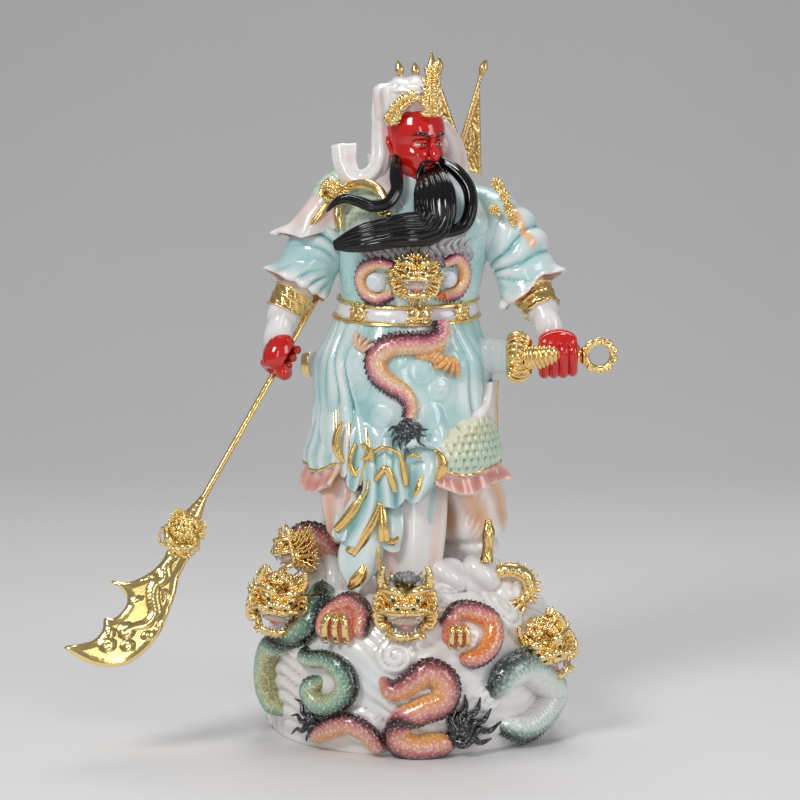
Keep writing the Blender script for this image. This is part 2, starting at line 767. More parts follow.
def curved_spike(root, tip, width, bend=(0, 0, 0.15), sides=6, steps=7, end=0.06):
    """A horn, tooth or lock from root to tip that swells a little and bows towards the bend."""
    root, tip, bend = (np.asarray(a, float) for a in (root, tip, bend))
    reach = np.linalg.norm(tip - root)
    points = [root, root + 0.35 * (tip - root) + bend * reach,
              root + 0.72 * (tip - root) + 0.8 * bend * reach, tip]
    return taper(points, [width, width * 1.05, width * 0.6, width * end], sides, steps, 1.0, UP)


def dragon_head(long, open_jaw=1.0, hair=None, mane=12, crown=True):
    """A head about the origin that looks along -Y, with cheeks one unit to each side:
    gilt parts, coloured parts. Its mane fans out behind the cheeks."""
    gold, paint = [], []
    chance = np.random.default_rng(5)
    low = -0.44 - 0.34 * open_jaw
    gold.append(blob((0, 0.15, 0.12), (0.86, 0.85, 0.72), 20, 12))
    muzzle = taper([(0, -0.1, 0.14), (0, -0.5, 0.2), (0, -0.85, 0.22), (0, -1.08, 0.2)],
                   [0.7, 0.6, 0.56, 0.36], 20, 16, 0.6, UP)
    gold.append(muzzle.push(0.035 * ridges(muzzle.points[..., 1] * 3.4)))
    for k in range(3):
        gold.append(blob((0, -0.5 - 0.18 * k, 0.52 - 0.03 * k), (0.2 - 0.02 * k, 0.11, 0.14), 8, 6))
    gold.append(blob((0, -1.1, 0.34), (0.22, 0.18, 0.16), 12, 8))
    for side in (-1, 1):
        gold.append(blob((side * 0.3, -1.03, 0.3), (0.27, 0.22, 0.2), 12, 8))
        paint.append(blob((side * 0.3, -1.22, 0.26), (0.1, 0.05, 0.07), 8, 6).paint(BLACK))
        lip = sided(side, (0.88, 0.1, -0.16), (0.78, -0.45, 0.0), (0.52, -0.88, -0.02),
                    (0, -1.12, 0.06))
        gold.append(taper(lip, [0.13, 0.16, 0.16, 0.15], 8, 14))
        jaw = [(side * 0.84, 0.15, -0.4), (side * 0.64, -0.3, low), (side * 0.4, -0.78, low - 0.16),
               (0, -0.92, low - 0.2)]
        gold.append(taper(jaw, [0.17, 0.16, 0.16, 0.18], 8, 14))
        gold.append(taper([(side * 0.86, 0.1, -0.1), (side * 0.98, -0.05, -0.34), (side * 0.84, 0.05, low)],
                          [0.15, 0.18, 0.14], 10, 10))
        for k, share in enumerate((0.28, 0.42, 0.56, 0.7, 0.82, 0.94)):
            p, q = spread(lip, share), spread(jaw, share)
            fang = 0.3 if k == 3 else 0.14
            paint.append(curved_spike(p - [0, 0, 0.05], p - [0, 0.02, 0.12 + fang], 0.08,
                                      (0, -0.1, 0), 5, 5).paint(PEARL))
            paint.append(curved_spike(q + [0, 0, 0.05], q + [0, 0.02, 0.1 + fang * 0.8], 0.07,
                                      (0, -0.1, 0), 5, 5).paint(PEARL))
        brow = sided(side, (0.08, -0.8, 0.56), (0.4, -0.86, 0.82), (0.78, -0.6, 0.8),
                     (1.08, -0.3, 0.66))
        gold.append(taper(brow, [0.12, 0.18, 0.14, 0.05], 8, 14))
        gold.append(blob((side * 0.46, -0.7, 0.52), (0.3, 0.26, 0.27), 12, 8))
        gold.append(blob((side * 0.46, -0.86, 0.53), (0.2, 0.16, 0.19), 12, 8))
        paint.append(blob((side * 0.46, -1.0, 0.52), (0.08, 0.04, 0.08), 12, 8).paint(BLACK))
        if crown:
            horn = sided(side, (0.74, -0.25, 0.6), (0.88, -0.3, 0.95), (0.9, -0.3, 1.3),
                         (0.8, -0.28, 1.62))
            horn_skin = taper(horn, [0.2, 0.18, 0.14, 0.08], 10, 22)
            gold.append(horn_skin.push(0.018 * ridges(horn_skin.reach / 0.13)))
        whisker = sided(side, (0.36, -1.12, 0.12), (0.7, -1.16, 0.22), (0.98, -0.95, 0.06),
                        (1.15, -0.7, 0.2), (1.12, -0.6, 0.36))
        gold.append(taper(whisker, [0.08, 0.09, 0.08, 0.07, 0.04], 6, 18))
        for k in range(6):
            a = math.radians(-75 + 26 * k)
            centre = (side * (0.86 + 0.1 * math.cos(a)), -0.2, -0.05 + 0.55 * math.sin(a))
            curl = [centre + r * np.array([side * 0.2 * math.cos(a + w), -0.12, 0.2 * math.sin(a + w)])
                    for r, w in ((1.1, -1.6), (1.15, 0), (1.0, 1.5), (0.7, 3.0), (0.35, 4.4))]
            gold.append(taper(curl, [0.08, 0.1, 0.1, 0.08, 0.06], 6, 14))
        for layer, (back, out, grow) in enumerate(((0.0, 0.85, 0.36), (0.3, 0.9, 0.46), (0.6, 0.86, 0.55),
                                                   (0.95, 0.7, 0.6))):
            for k in range(mane):
                a = math.radians(-86 + 132 * (k + 0.5 * (layer % 2)) / (mane - 1) + chance.uniform(-4, 4))
                reach = grow * long * chance.uniform(0.75, 1.25)
                root = (side * out * math.cos(a), back, 0.06 + 0.76 * math.sin(a))
                tip = (side * (out + reach) * math.cos(a), back + 0.16 * long,
                       0.06 + (0.76 + reach) * math.sin(a) + 0.08)
                gold.append(curved_spike(root, tip, 0.12, (0, -0.14, -0.16), 5, 5, 0.12))
    for k in range(9):
        x = (k - 4) * 0.15
        tip = (x * 1.4, -0.85, low - 0.5 + abs(x) * 0.3)
        gold.append(curved_spike((x, -0.82 + abs(x) * 0.5, low - 0.16), tip, 0.09, (0, -0.15, 0), 6, 6, 0.1))
    paint.append(blob((0, -0.3, -0.3), (0.72, 0.62, 0.42), 24, 14).paint(MAW))
    tongue = taper([(0, -0.3, -0.55), (0, -0.75, -0.55), (0, -0.95, -0.6)], [0.24, 0.24, 0.1], 12, 16,
                   0.35, UP)
    paint.append(tongue.paint(ROSE_PALE))
    for k in range(40 if crown else 0):
        x, y = chance.uniform(-0.6, 0.6), chance.uniform(-0.5, 0.75)
        z = 0.74 + 0.38 * (1 - (x / 0.66) ** 2) - 0.2 * smooth(y, 0.2, 0.8) + chance.uniform(-0.06, 0.06)
        curl = blob((x, y, z), (0.15, 0.15, 0.15), 8, 6)
        if hair is None:
            gold.append(curl)
        else:
            paint.append(curl.paint(hair * chance.uniform(0.7, 1.2)))
    return gold, paint


def dragon_foot(toes, fan=0.0, thick=1.0):
    """A foot about the origin, facing -Y, whose toes grip downward or fan out by some degrees:
    the foot, and its talons."""
    foot = [blob((0, 0.15, 0.45), (0.7, 0.45, 0.42), 16, 10)]
    talons = []
    for k in range(toes):
        share = (k - (toes - 1) / 2) / max(toes - 1, 1)
        x, way = share * 1.5, math.sin(math.radians(fan * share))
        points = [(x * 0.6, 0.0, 0.8), (x * 0.9, -0.5, 0.5), (x + way * 0.3, -0.6, 0.0),
                  (x + way * 0.8, -0.5, -0.5), (x + way * 1.1, -0.2, -0.85)]
        toe = taper(points, thick * np.array([0.22, 0.29, 0.24, 0.26, 0.2]), 10, 22)
        foot.append(toe.push(0.03 * ridges(toe.reach / 0.26)))
        foot.append(blob(points[1], (0.3 * thick, 0.3, 0.28), 10, 6))
        foot.append(blob(points[3], (0.28 * thick, 0.26, 0.27), 10, 6))
        tip = (x + way * 1.5, 0.15, -1.3)
        talons.append(curved_spike(points[4], tip, 0.2 * thick, (0, -0.3, 0), 7, 8, 0.05))
    return foot, talons


def flame_burst(tongues, fan, seed):
    """Long wavy licks of flame or smoke that fan upward about the origin, facing -Y."""
    chance = np.random.default_rng(seed)
    burst = [blob((0, 0.1, 0), (0.42, 0.24, 0.4), 16, 10)]
    for k in range(tongues):
        share = k / max(tongues - 1, 1)
        a = math.radians((share - 0.5) * fan)
        grow = (0.72 + 0.4 * math.sin(math.pi * share)) * chance.uniform(0.88, 1.12)
        way = np.array([math.sin(a), 0, math.cos(a)]) * grow
        side = np.array([math.cos(a), 0, -math.sin(a)]) * grow
        points = [way * 0.1, way * 0.6 + side * 0.12 + [0, -0.25, 0], way * 1.2 - side * 0.14 + [0, -0.2, 0],
                  way * 1.8 + side * 0.12, way * 2.4 - side * 0.14]
        lick = taper(points, [0.2, 0.25, 0.2, 0.13, 0.015], 10, 30, 0.8)
        burst.append(lick.push(0.02 * ridges(around(10) * 5 / (2 * np.pi))))
    return burst


COILS = [  # [turn, height share] along the body, half widths, hide, side of the crest, its height
    ([[-12, 0.53], [-7, 0.44], [0, 0.5], [6, 0.57], [12, 0.5], [12, 0.39], [3, 0.31], [-4, 0.24],
      [-5, 0.12], [1, 0.07], [9, 0.08], [16, 0.09]], [3.5, 7, 8.5, 9.5, 9.5, 9, 9, 9, 9, 7.5],
     ROSE_HIDE, [-1, -1, -1, -1, -1, 1, 1, 1], 0.8),
    ([[14, 0.83], [21, 0.91], [29, 0.9], [35, 0.83], [33, 0.73], [27, 0.65], [20, 0.62]],
     [4.5, 7, 7.5, 7.5, 7.5, 6.5, 4.5], CORAL_HIDE, -1, 0.8),
    ([[-36, 0.74], [-38, 0.86], [-31, 0.95], [-22, 0.9], [-21, 0.78]], [6, 7, 7.5, 7, 5],
     CORAL_HIDE, -1, 0.7),
    ([[-62, 0.98], [-50, 0.93], [-46, 0.8], [-56, 0.7], [-68, 0.58], [-71, 0.43], [-68, 0.28], [-62, 0.18]],
     [9, 9.5, 9.5, 9, 9.5, 9.5, 9, 5], JADE_HIDE, [-1, -1, -1, 1, 1, 1], 0.8),
    ([[-48, 0.62], [-41, 0.6], [-33, 0.61], [-26, 0.55], [-24, 0.45], [-29, 0.34], [-37, 0.32], [-41, 0.4],
      [-37, 0.47]], [6, 6, 6.5, 8, 8.5, 8, 7.5, 6.5, 4], JADE_HIDE, -1, 0.8),
    ([[-41, 0.08], [-32, 0.16], [-23, 0.21], [-17, 0.16], [-12, 0.06]], [5, 7, 7.5, 7, 6],
     ROSE_HIDE, -1, 0.8),
    ([[33, 0.37], [37, 0.5], [46, 0.54], [57, 0.45], [66, 0.3], [58, 0.18], [46, 0.13], [38, 0.17]],
     [7, 11, 12, 12, 12, 11, 9, 5], ASH_HIDE, -1, 1.5),
    ([[130, 0.2], [150, 0.5], [175, 0.25], [200, 0.5], [225, 0.85]], [5, 9, 9, 9, 6], ROSE_HIDE, 1, 0.8),
]
COIL_LIFT = 1.5
COIL_POINTS = 240
END_DEPTH = 8.0
CLAW_LIFT = 7
FLAME_LIFT = 3
PLINTH_HEADS = [  # x, y, height above the soles, size, yaw, pitch, roll, mane length, grey hair
    [-4, -80, -3, 18, 0, 8, 0, 0.55, True], [-92, -54, -6, 17, 2, 14, 12, 0.7, False],
    [-82, -36, 26, 11.5, -72, 8, -14, 1.5, False], [93, -48, -38, 17, 14, 24, -22, 0.7, False],
]
PLINTH_FEET = [[-30, 0.83, 9.5], [18, 0.79, 7.5]]  # turn, height share, size
PLINTH_TOES = 3
BALLS = [[-30, 0.82, 12.5], [18, 0.78, 9.5]]  # turn, height share, radius
PLINTH_FLAMES = [  # turn, height share, size, roll, tongues, fan
    [15, 0.11, 15, 48, 6, 92], [-38, 0.18, 9, -80, 5, 130],
]
HEAD_HAIR = {True: GREY_HAIR, False: None}
RIGHT_FORELEG = [[52, -34, 3], [58, -37, 10], [70, -38, 13], [80, -38, 8], [82, -38, -2], [76, -39, -9]]
LEFT_NECK = [[-54, -10, 14], [-62, -16, 30], [-72, -20, 35], [-80, -26, 32], [-84, -30, 26]]


def build_plinth():
    clouds = Piece("plinth_clouds").add(cloud_mound())
    for k, row in enumerate(CLOUD_PUFFS):
        clouds.add(cloud_puff(*row, hand=1 if k % 2 else -1))
    dragons = Piece("plinth_dragons")
    gilding = Piece("plinth_gilding")
    for pairs, widths, hide, side, fins in COILS:
        line = route(on_plinth, pairs, COIL_POINTS, COIL_LIFT)
        share = column(0, 1, COIL_POINTS)
        sunk = END_DEPTH * (1 - smooth(share, 0, 0.09) + smooth(share, 0.93, 1))
        dragons.add(*dragon_body(line - outward(line) * sunk, widths, hide, side, fins))
    for x, y, z, size, yaw, pitch, roll, long, grey in PLINTH_HEADS:
        place = turned(at(x, y, z), yaw, pitch, roll, size)
        gold, paint = dragon_head(long, hair=HEAD_HAIR[grey])
        gilding.lay(place, gold)
        dragons.lay(place, paint)
    for turn, height, radius in BALLS:
        ball = blob(on_plinth(turn, height, 0), (radius, radius * 0.8, radius), 48, 30)
        ball.push(0.5 * np.abs(np.sin(around(48) * 8)) * np.abs(np.sin(ball.reach * 0.9)))
        dragons.add(ball.paint(blend(ROSE_PALE, AMBER, 0.5 + 0.5 * mottle(ball.points, 20, 4))))
    for turn, height, size in PLINTH_FEET:
        place = turned(on_plinth(turn, height, CLAW_LIFT), turn * 0.5, 0, 0, size)
        foot, talons = dragon_foot(PLINTH_TOES)
        gilding.lay(place, foot + talons)
    neck = along_line(line_at(LEFT_NECK), 60)
    dragons.add(*dragon_body(neck, [10, 10, 9, 8], ROSE_HIDE, 1, 0.8, FRONT))
    foreleg = taper(line_at(RIGHT_FORELEG), [3.5, 4.6, 5.0, 4.8, 4.4, 3.6], 20, 70)
    foreleg.push(0.5 * ridges(foreleg.reach / 5.5) * (0.5 + 0.5 * np.cos(around(20) * 3)))
    gilding.add(foreleg)
    foot, talons = dragon_foot(PLINTH_TOES, 30)
    place = turned(at(73, -41, -12), 10, 0, 50, 6.0)
    gilding.lay(place, foot + talons)
    line = along_line(line_at(RIGHT_FORELEG), 15)
    for k in range(14):
        out = unit((line[k] - at(68, -34, 0)) * [1, 0, 1])
        tip = line[k] + 7 * out + [2, 0, 0]
        gilding.add(curved_spike(line[k] + 2.5 * out, tip, 1.7, (0.2, 0, -0.2), 8, 10))
    for k, (turn, height, size, roll, tongues, fan) in enumerate(PLINTH_FLAMES):
        place = turned(on_plinth(turn, height, FLAME_LIFT), turn, 0, roll, size)
        dragons.lay(place, flame_burst(tongues, fan=fan, seed=k), INK)
    clouds.make(pearly_glaze)
    dragons.make(enamel)
    gilding.make(gilt, "gilt")


# The robe below the belt

def folds(turn, low, high, pitch, depth, soft=6.0):
    """Upright folds over the turns between low and high."""
    wave = np.abs(np.sin(np.pi * (turn / pitch))) ** 0.8 * 2 - 1
    return depth * wave * smooth(turn, low - soft, low + soft) * (1 - smooth(turn, high - soft, high + soft))


SKIRT_CLOUDS = [  # turn, height, radius, hand: scrolls in low relief on the apron
    [-20, 176, 8, 1], [-8, 184, 6, -1], [12, 184, 6, 1], [-36, 160, 8, -1], [12, 153, 9, 1],
    [24, 140, 8, -1], [-4, 160, 6, 1], [-30, 140, 9, 1], [18, 122, 9, -1], [-14, 122, 8, -1],
    [-26, 108, 9, 1], [8, 102, 9, 1], [-8, 92, 7, -1], [22, 100, 7, 1], [-38, 120, 7, -1], [32, 160, 7, 1],
    [36, 182, 7, -1], [-40, 182, 7, 1], [2, 172, 5, 1], [-18, 92, 7, 1],
]
SCROLL_PITCH = 2.5


def scroll_relief(turn, z, swirls, across=58.0):
    """Low scrolls over cloth: their swell and their lines."""
    swell = np.zeros(np.broadcast(turn, z).shape)
    lines = np.zeros_like(swell)
    for turn_k, z_k, radius, hand in swirls:
        dx = np.radians(signed(turn - turn_k)) * across
        dz = z - z_k
        away = np.hypot(dx, dz)
        dome = np.sqrt(np.clip(1 - (away / radius) ** 2, 0, 1))
        higher = dome > swell
        lines = np.where(higher, scroll(dx, dz, SCROLL_PITCH, hand) * smooth(dome, 0.1, 0.5), lines)
        swell = np.where(higher, dome, swell)
    return swell, lines


def apron_hem(side):
    """Height of the robe's hem: high over the falls in front, low behind."""
    front = smooth(side, -62, -40) * (1 - smooth(side, 26, 40))
    return 80 + 20 * front + 2.2 * np.sin(np.radians(side * 9)) * front


def skirt():
    turn = all_turns(330)
    tier = column(0, 1, 84)
    side = signed(turn)
    hem = apron_hem(side)
    z = hem + (SKIRT_TOP - hem) * tier
    cloth = Skin(over_skirt(turn, z))
    drop = smooth(-z, -192, -100)
    sway = 3.2 * np.sin(z / 17 + side / 19) + 1.6 * np.sin(z / 7.5 + side / 6)
    heavy = 0.72 + 0.4 * np.sin(side / 11 + z / 30)
    relief = folds(side + sway, -96, -36, 12.5, 3.2)
    relief = relief + folds(side + sway + 0.22 * (z - 150), 38, 92, 15, 3.2, 7)
    relief = relief * (0.3 + 0.7 * drop) * heavy
    relief = relief + folds((side + sway) % 360, 104, 260, 14, 2.2) * (0.2 + 0.8 * drop)
    front = 1 - smooth(np.abs(side), 36, 46)
    near_hem = 1 - smooth(z - hem, 0, 26)
    relief = relief + front * near_hem * (2.4 + 2.4 * np.sin(np.radians(side * 18)))
    relief = relief + 1.2 * np.sin(np.radians(side * 5) + z / 18) * smooth(-z, -185, -150) * front
    swell, lines = scroll_relief(side, z, SKIRT_CLOUDS)
    colour = blend(MINT, MINT_PALE, smooth(mottle(cloth.points, 40, 2), -0.4, 0.9))
    colour = blend(colour, PEARL, 0.5 * smooth(relief, 1.0, 2.8) * (1 - 0.9 * front * near_hem))
    colour = blend(colour, MINT_DEEP, 0.7 * smooth(-relief, 0.4, 2.4))
    colour = blend(colour, MINT_DEEP, 0.25 * front * smooth(-lines, 0.2, 1))
    cloth.paint(colour)
    return cloth.push(relief + front * (1.1 * swell + 0.2 * lines))


def gold_route(points, widths, flat, sides=20):
    """A gilt edge along points, fluted along its length."""
    ribbon = taper(line_at(points), widths, sides, 32, flat)
    return ribbon.push(0.1 * np.mean(widths) * ridges(around(sides) * 6 / (2 * np.pi)))


RUFFLE_STEPS = 44


def ruffle(points, widths, thickness, waves, depth, colour, edge):
    """A fall of cloth with folds down its length that open towards the hem."""
    def hill(t, c):
        return np.sin(np.pi * (waves * c + 0.35 * np.sin(3 * t)))

    def sway(t, c):
        return depth * (0.35 + 0.65 * t) * hill(t, c)
    cloth = band(line_at(points), widths, thickness, RUFFLE_STEPS, sway)
    rise = hill(column(0, 1, RUFFLE_STEPS + 1), BAND_ACROSS)
    lit = blend(colour, PEARL, 0.5 * smooth(rise, 0.2, 1))
    cloth.colour = blend(lit, edge, 0.8 * smooth(-rise, 0.3, 1.0))
    return cloth


HANG_ROWS = 32
HANG_COLUMNS = 22
HANG_THICKNESS = 2.4


def hang(cloth, gilding, left, right, bulge, flutes, depth, light, shade, hem, gilt_width):
    """A hanging width of cloth between two edge lines, bellied towards the front, with flutes down
    it that grow to the hem. A gilt width above 0 edges its right side."""
    left, right = (along_line(line_at(edge), HANG_ROWS + 1) for edge in (left, right))
    c = np.linspace(0, 1, HANG_COLUMNS)[None, :]
    t = column(0, 1, HANG_ROWS + 1)
    wave = np.sin(2 * np.pi * (flutes * c + 0.4)) + 0 * t
    points = blend(left[:, None], right[:, None], c + 0 * t)
    out = bulge * np.sin(np.pi * c) ** 0.8 + depth * wave * (0.3 + 0.7 * t) * np.sin(np.pi * c) ** 0.4
    points = points + FRONT * out[..., None]
    points[..., 2] += hem * (0.25 * wave * t**4 - np.sin(np.pi * c) * t)
    skin = Skin(points[::-1], ring=False)
    wave, drop = wave[::-1], (t + 0 * c)[::-1]
    colour = blend(light, PEARL, 0.45 * smooth(wave, 0.3, 1) * (0.4 + 0.6 * drop))
    skin.colour = blend(colour, shade, 0.8 * smooth(-wave, 0.2, 1.0) * (0.3 + 0.7 * drop))
    cloth.add_sheet(skin, HANG_THICKNESS, shade)
    if gilt_width:
        edge = skin.points[::HANG_ROWS // 8, -1] + FRONT * 0.6
        gilding.add(taper(edge, gilt_width * np.array([0.8, 1, 1.1, 1, 0.8]), 10, 40, 0.6))


def leg(rows, colour_low, colour_high, cuff):
    """A leg in trousers over a wrapped shin and a boot."""
    turn = all_turns(100)
    z = column(LEG_FOOT, LEG_TOP, 75)
    skin = Skin(on_body(rows, turn, z))
    side = signed(turn)
    hatch = np.sin((z + 0.012 * (side - 46) ** 2 + 1.2 * np.sin(side / 7)) / 1.5)
    hatch = hatch * (1 - smooth(np.abs(side - 8), 14, 30)) * smooth(np.sin(z / 5.5 + side / 14), -0.5, 0.6)
    long_folds = np.sin(np.radians(turn * 7) + z / 16)
    puff = smooth(z, cuff - 2, cuff + 5)
    wraps = np.sin((z + 0.16 * side + 3 * np.sin(np.radians(3 * turn))) / 4.2)
    relief = puff * (0.35 * hatch + 1.0 * long_folds + 2.4 * bump(z, cuff + 9, 8)) + (1 - puff) * 1.3 * wraps
    relief = relief - 2.2 * bump(z, cuff, 2.6)
    high = blend(colour_high, PEARL, 0.3 + 0.6 * smooth(hatch, 0.35, 0.9))
    high = blend(high, PEARL, 0.6 * smooth(long_folds, 0.3, 1) + 0.6 * (1 - smooth(z, cuff + 4, cuff + 16)))
    high = blend(high, colour_high, 0.5 * smooth(-long_folds, 0.3, 1))
    low = blend(colour_low, PEARL_SHADE, 0.45 * smooth(-wraps, 0.2, 1))
    skin.colour = blend(low, high, puff + 0 * turn)
    return skin.push(relief)


LEFT_LEG = [
    [-6, 34, -4, 22, 22], [10, 35, -6, 18, 19], [24, 38, -5, 23, 23], [42, 41, -4, 25, 27],
    [60, 39, -3, 27, 30], [84, 30, -2, 30, 34],
]
RIGHT_LEG = [
    [-6, -32, -4, 22, 22], [14, -33, -4, 20, 21], [34, -36, -3, 25, 26], [60, -35, -3, 28, 31],
    [84, -28, -2, 32, 34],
]
BACK_ROBE = [
    [-6, -2, 20, 54, 30], [30, -3, 18, 50, 30], [60, -4, 14, 52, 34], [86, -5, 8, 54, 40],
]


def back_robe():
    """The long under-robe behind the legs, pleated, with a gilt border at its hem."""
    turn = all_turns(200)
    z = column(-6, 88, 40)
    cloth = Skin(on_body(BACK_ROBE, turn, z))
    pleats = folds(turn, 70, 290, 15, 2.8, 10) * (0.5 + 0.5 * smooth(-z, -80, 10))
    colour = blend(PEARL, BLUSH, 0.5 * smooth(mottle(cloth.points, 50, 5), 0, 1))
    colour = blend(colour, PEARL_SHADE, 0.6 * smooth(-pleats, 0.3, 2.4))
    cloth.paint(colour)
    return cloth.push(pleats)


def scale_pattern(a, b):
    """Overlapping round scales in rows along a and across b: their rise, from 0 to 1."""
    best = np.zeros(np.broadcast(a, b).shape)
    for shift in (0, 1):
        row = np.floor(a + shift) - shift
        down = a - row
        across = (b + 0.5 * (row % 2)) % 1 - 0.5
        away = np.hypot((down - 0.7) / 0.85, across * 1.75)
        dome = 0.8 * np.sqrt(np.clip(1 - away**2, 0, 1)) + 0.2 * shift
        best = np.maximum(best, np.where(away < 1, dome, 0))
    return best


PLATE_ROWS = 56
PLATE_SCALE_HIGH = 5.4
PLATE_SCALE_WIDE = 6.0


def armour_plate(low_turn, high_turn, low, high, lift_top, lift_foot, droop, colours, tucked, scaled,
                 hem_high):
    """One skirt of the armour: laced scales above a hem of cloth that flares out. A tucked one
    goes under the robe at its upper front corner, and its scales end in a rounded patch. The
    lines come with it that are edged in gilt."""
    turn = np.linspace(low_turn, high_turn, 94)[None, :]
    tier = column(0, 1, PLATE_ROWS)
    middle, half = (low_turn + high_turn) / 2, (high_turn - low_turn) / 2
    share = (turn - middle) / half
    foot = low - droop * (1 - share**2) + 2.2 * np.sin(np.radians(turn * 7))
    z = foot + (high - foot) * tier
    flare = smooth(1 - tier, 1 - 1.6 * hem_high, 1.0) ** 2 * (1 + 1.9 * smooth(share, 0.7, 1))
    lift = lift_foot + (lift_top - lift_foot) * tier + 4.5 * flare
    under = smooth(z - 99 - 0.6 * (turn - low_turn) - 34 * smooth(share, 0.35, 0.8), 0, 9) * tucked
    lift = lift - 16 * under
    skin = Skin(over_skirt(turn, z, lift), ring=False)
    rise = scale_pattern(z / -PLATE_SCALE_HIGH, turn * 60 * math.pi / 180 / PLATE_SCALE_WIDE)
    body = smooth(tier, hem_high - 0.02, hem_high + 0.02) * (1 - smooth(np.abs(share), 0.88, 0.92))
    body = body * (1 - tucked * smooth(np.hypot((share + 0.05) / 0.98, (tier - 0.34) / 0.36), 0.94, 1.0))
    rise = rise * scaled + (1 - scaled) * (0.5 + 0.5 * np.sin(turn / 2.4))
    light, dark, hem = colours
    colour = blend(dark, light, smooth(rise, 0.25, 0.75))
    colour = blend(colour, OCHRE, 0.55 * tucked * smooth(tier - 0.2 * share, 0.3, 0.62))
    middle_hem = smooth(np.abs(tier - 0.4 * hem_high), 0, hem_high)
    plain = blend(blend(hem, BLUSH, 0.45), PEARL, middle_hem + 0 * turn)
    skin.colour = blend(plain, colour, body)
    skin.push(body * 1.7 * rise + (1 - body) * (0.9 * np.sin(turn / 2.2) * (1 - tier)))
    row = int((hem_high + 0.02) * (PLATE_ROWS - 1))
    return skin, [skin.points[row], skin.points[row:, -6]] if scaled else [skin.points[row]]


def tube(points, width, bead):
    """A beaded cord along a line over the robe."""
    steps = max(30, int(length_of(points) / 1.6))
    step = max(1, len(points) // 24)
    skin = taper(np.concatenate([points[:-1:step], points[-1:]]), [width, width], 8, steps, 0.8, outward)
    return skin.push(0.2 * width * ridges(skin.reach / bead))


def belt_height(turn, z):
    """The belt dips in front."""
    return z - 9 * (1 + np.cos(np.radians(turn))) / 2


BELT_FOOT = 192


def belt_ring(outline):
    """A hoop of the belt from an outline of [lift, rise] pairs."""
    turn = all_turns(140)
    outline = np.asarray(outline, float)
    lift, rise = outline[:, :1], outline[:, 1:]
    return Skin(over_skirt(turn, belt_height(turn, BELT_FOOT + rise), lift))


ARMOUR = [  # turns, heights, lift at its top and foot, droop, colours, tucked corner, scaled
    (20, 84, 74, 142, 5, 8, 6, (SCALE_GREEN, SCALE_SHADE, CORAL), 1, 1),
    (-112, -38, 74, 126, -2, 11, 7, (MINT_PALE, MINT, CORAL), 0, 0),
    (140, 220, 74, 170, 1, 6, 6, (SCALE_GREEN, SCALE_SHADE, CORAL), 0, 1),
]
HANGINGS = [  # left and right edge, bulge, flutes, their depth, colour, shade, hem, gilt width
    ([(-26, -38, 90), (-25, -44, 40), (-24, -46, 8)], [(26, -36, 90), (24, -42, 40), (20, -46, 7)],
     8, 1.5, 1.6, PEARL, BLUSH, 0, 0),
    ([(4, -40, 90), (0, -47, 50), (-3, -50, 30)], [(20, -38, 90), (15, -46, 50), (11, -48, 31)],
     3, 0.5, 1.0, blend(MINT, PEARL, 0.4), MINT, 5, 0),
    ([(-60, -22, 92), (-63, -32, 68), (-59, -36, 42)], [(-36, -40, 92), (-38, -46, 64), (-45, -47, 34)],
     6, 1.5, 1.8, BLUSH, APRICOT, 3, 0),
    ([(-46, -36, 70), (-52, -46, 54), (-55, -50, 40)], [(-30, -46, 70), (-34, -52, 56), (-40, -54, 38)],
     4, 1.5, 1.6, PEARL, MINT, 3, 0),
    ([(-42, -53, 46), (-50, -54, 30), (-50, -54, 16), (-42, -54, 2)],
     [(-18, -53, 46), (-18, -54, 32), (-23, -54, 16), (-35, -54, 1)], 7, 1, 1.8, MINT_PALE, MINT, 3, 0),
    ([(-36, -42, 104), (-33, -52, 84), (-34, -55, 70), (-42, -55, 56), (-53, -54, 41)],
     [(-20, -45, 104), (-18, -53, 84), (-17, -55, 66), (-18, -55, 50), (-24, -54, 33)],
     6, 2.0, 2.0, MINT, FOLD, 6, 0),
    ([(-18, -50, 60), (-20, -56, 48), (-20, -58, 33)], [(-6, -50, 60), (-5, -56, 48), (-8, -57, 30)],
     3, 0.5, 1.0, MINT, PEARL, 2, 0),
    ([(-62, -14, 130), (-64, -26, 112), (-60, -33, 90)], [(-52, -28, 130), (-51, -38, 108), (-53, -40, 88)],
     4, 1.0, 1.4, MINT_PALE, MINT, 2, 1.5),
    ([(-52, -28, 130), (-50, -40, 108), (-51, -44, 84)], [(-44, -33, 130), (-42, -46, 106), (-43, -48, 82)],
     4, 1.0, 1.4, PEARL, MINT, 3, 1.7),
    ([(-46, -34, 122), (-43, -47, 100), (-45, -50, 76)], [(-32, -41, 122), (-30, -51, 98), (-35, -52, 74)],
     5, 1.0, 1.8, MINT, FOLD, 4, 1.7),
    ([(-29, -44, 108), (-28, -52, 86), (-26, -54, 64)], [(-4, -46, 108), (-5, -54, 88), (-2, -55, 66)],
     8, 2.0, 2.0, MINT, FOLD, 5, 0),
    ([(-8, -38, 101), (-5, -52, 86), (-5, -55, 68)],
     [(20, -35, 101), (24, -47, 96), (22, -51, 82), (10, -53, 68)], 8, 1.5, 1.8, MINT, FOLD, 5, 0),
    ([(16, -40, 116), (20, -46, 98), (20, -48, 84)], [(28, -36, 122), (27, -42, 100), (24, -46, 80)],
     3, 0.5, 1.0, MINT_PALE, PEARL, 2, 0),
]
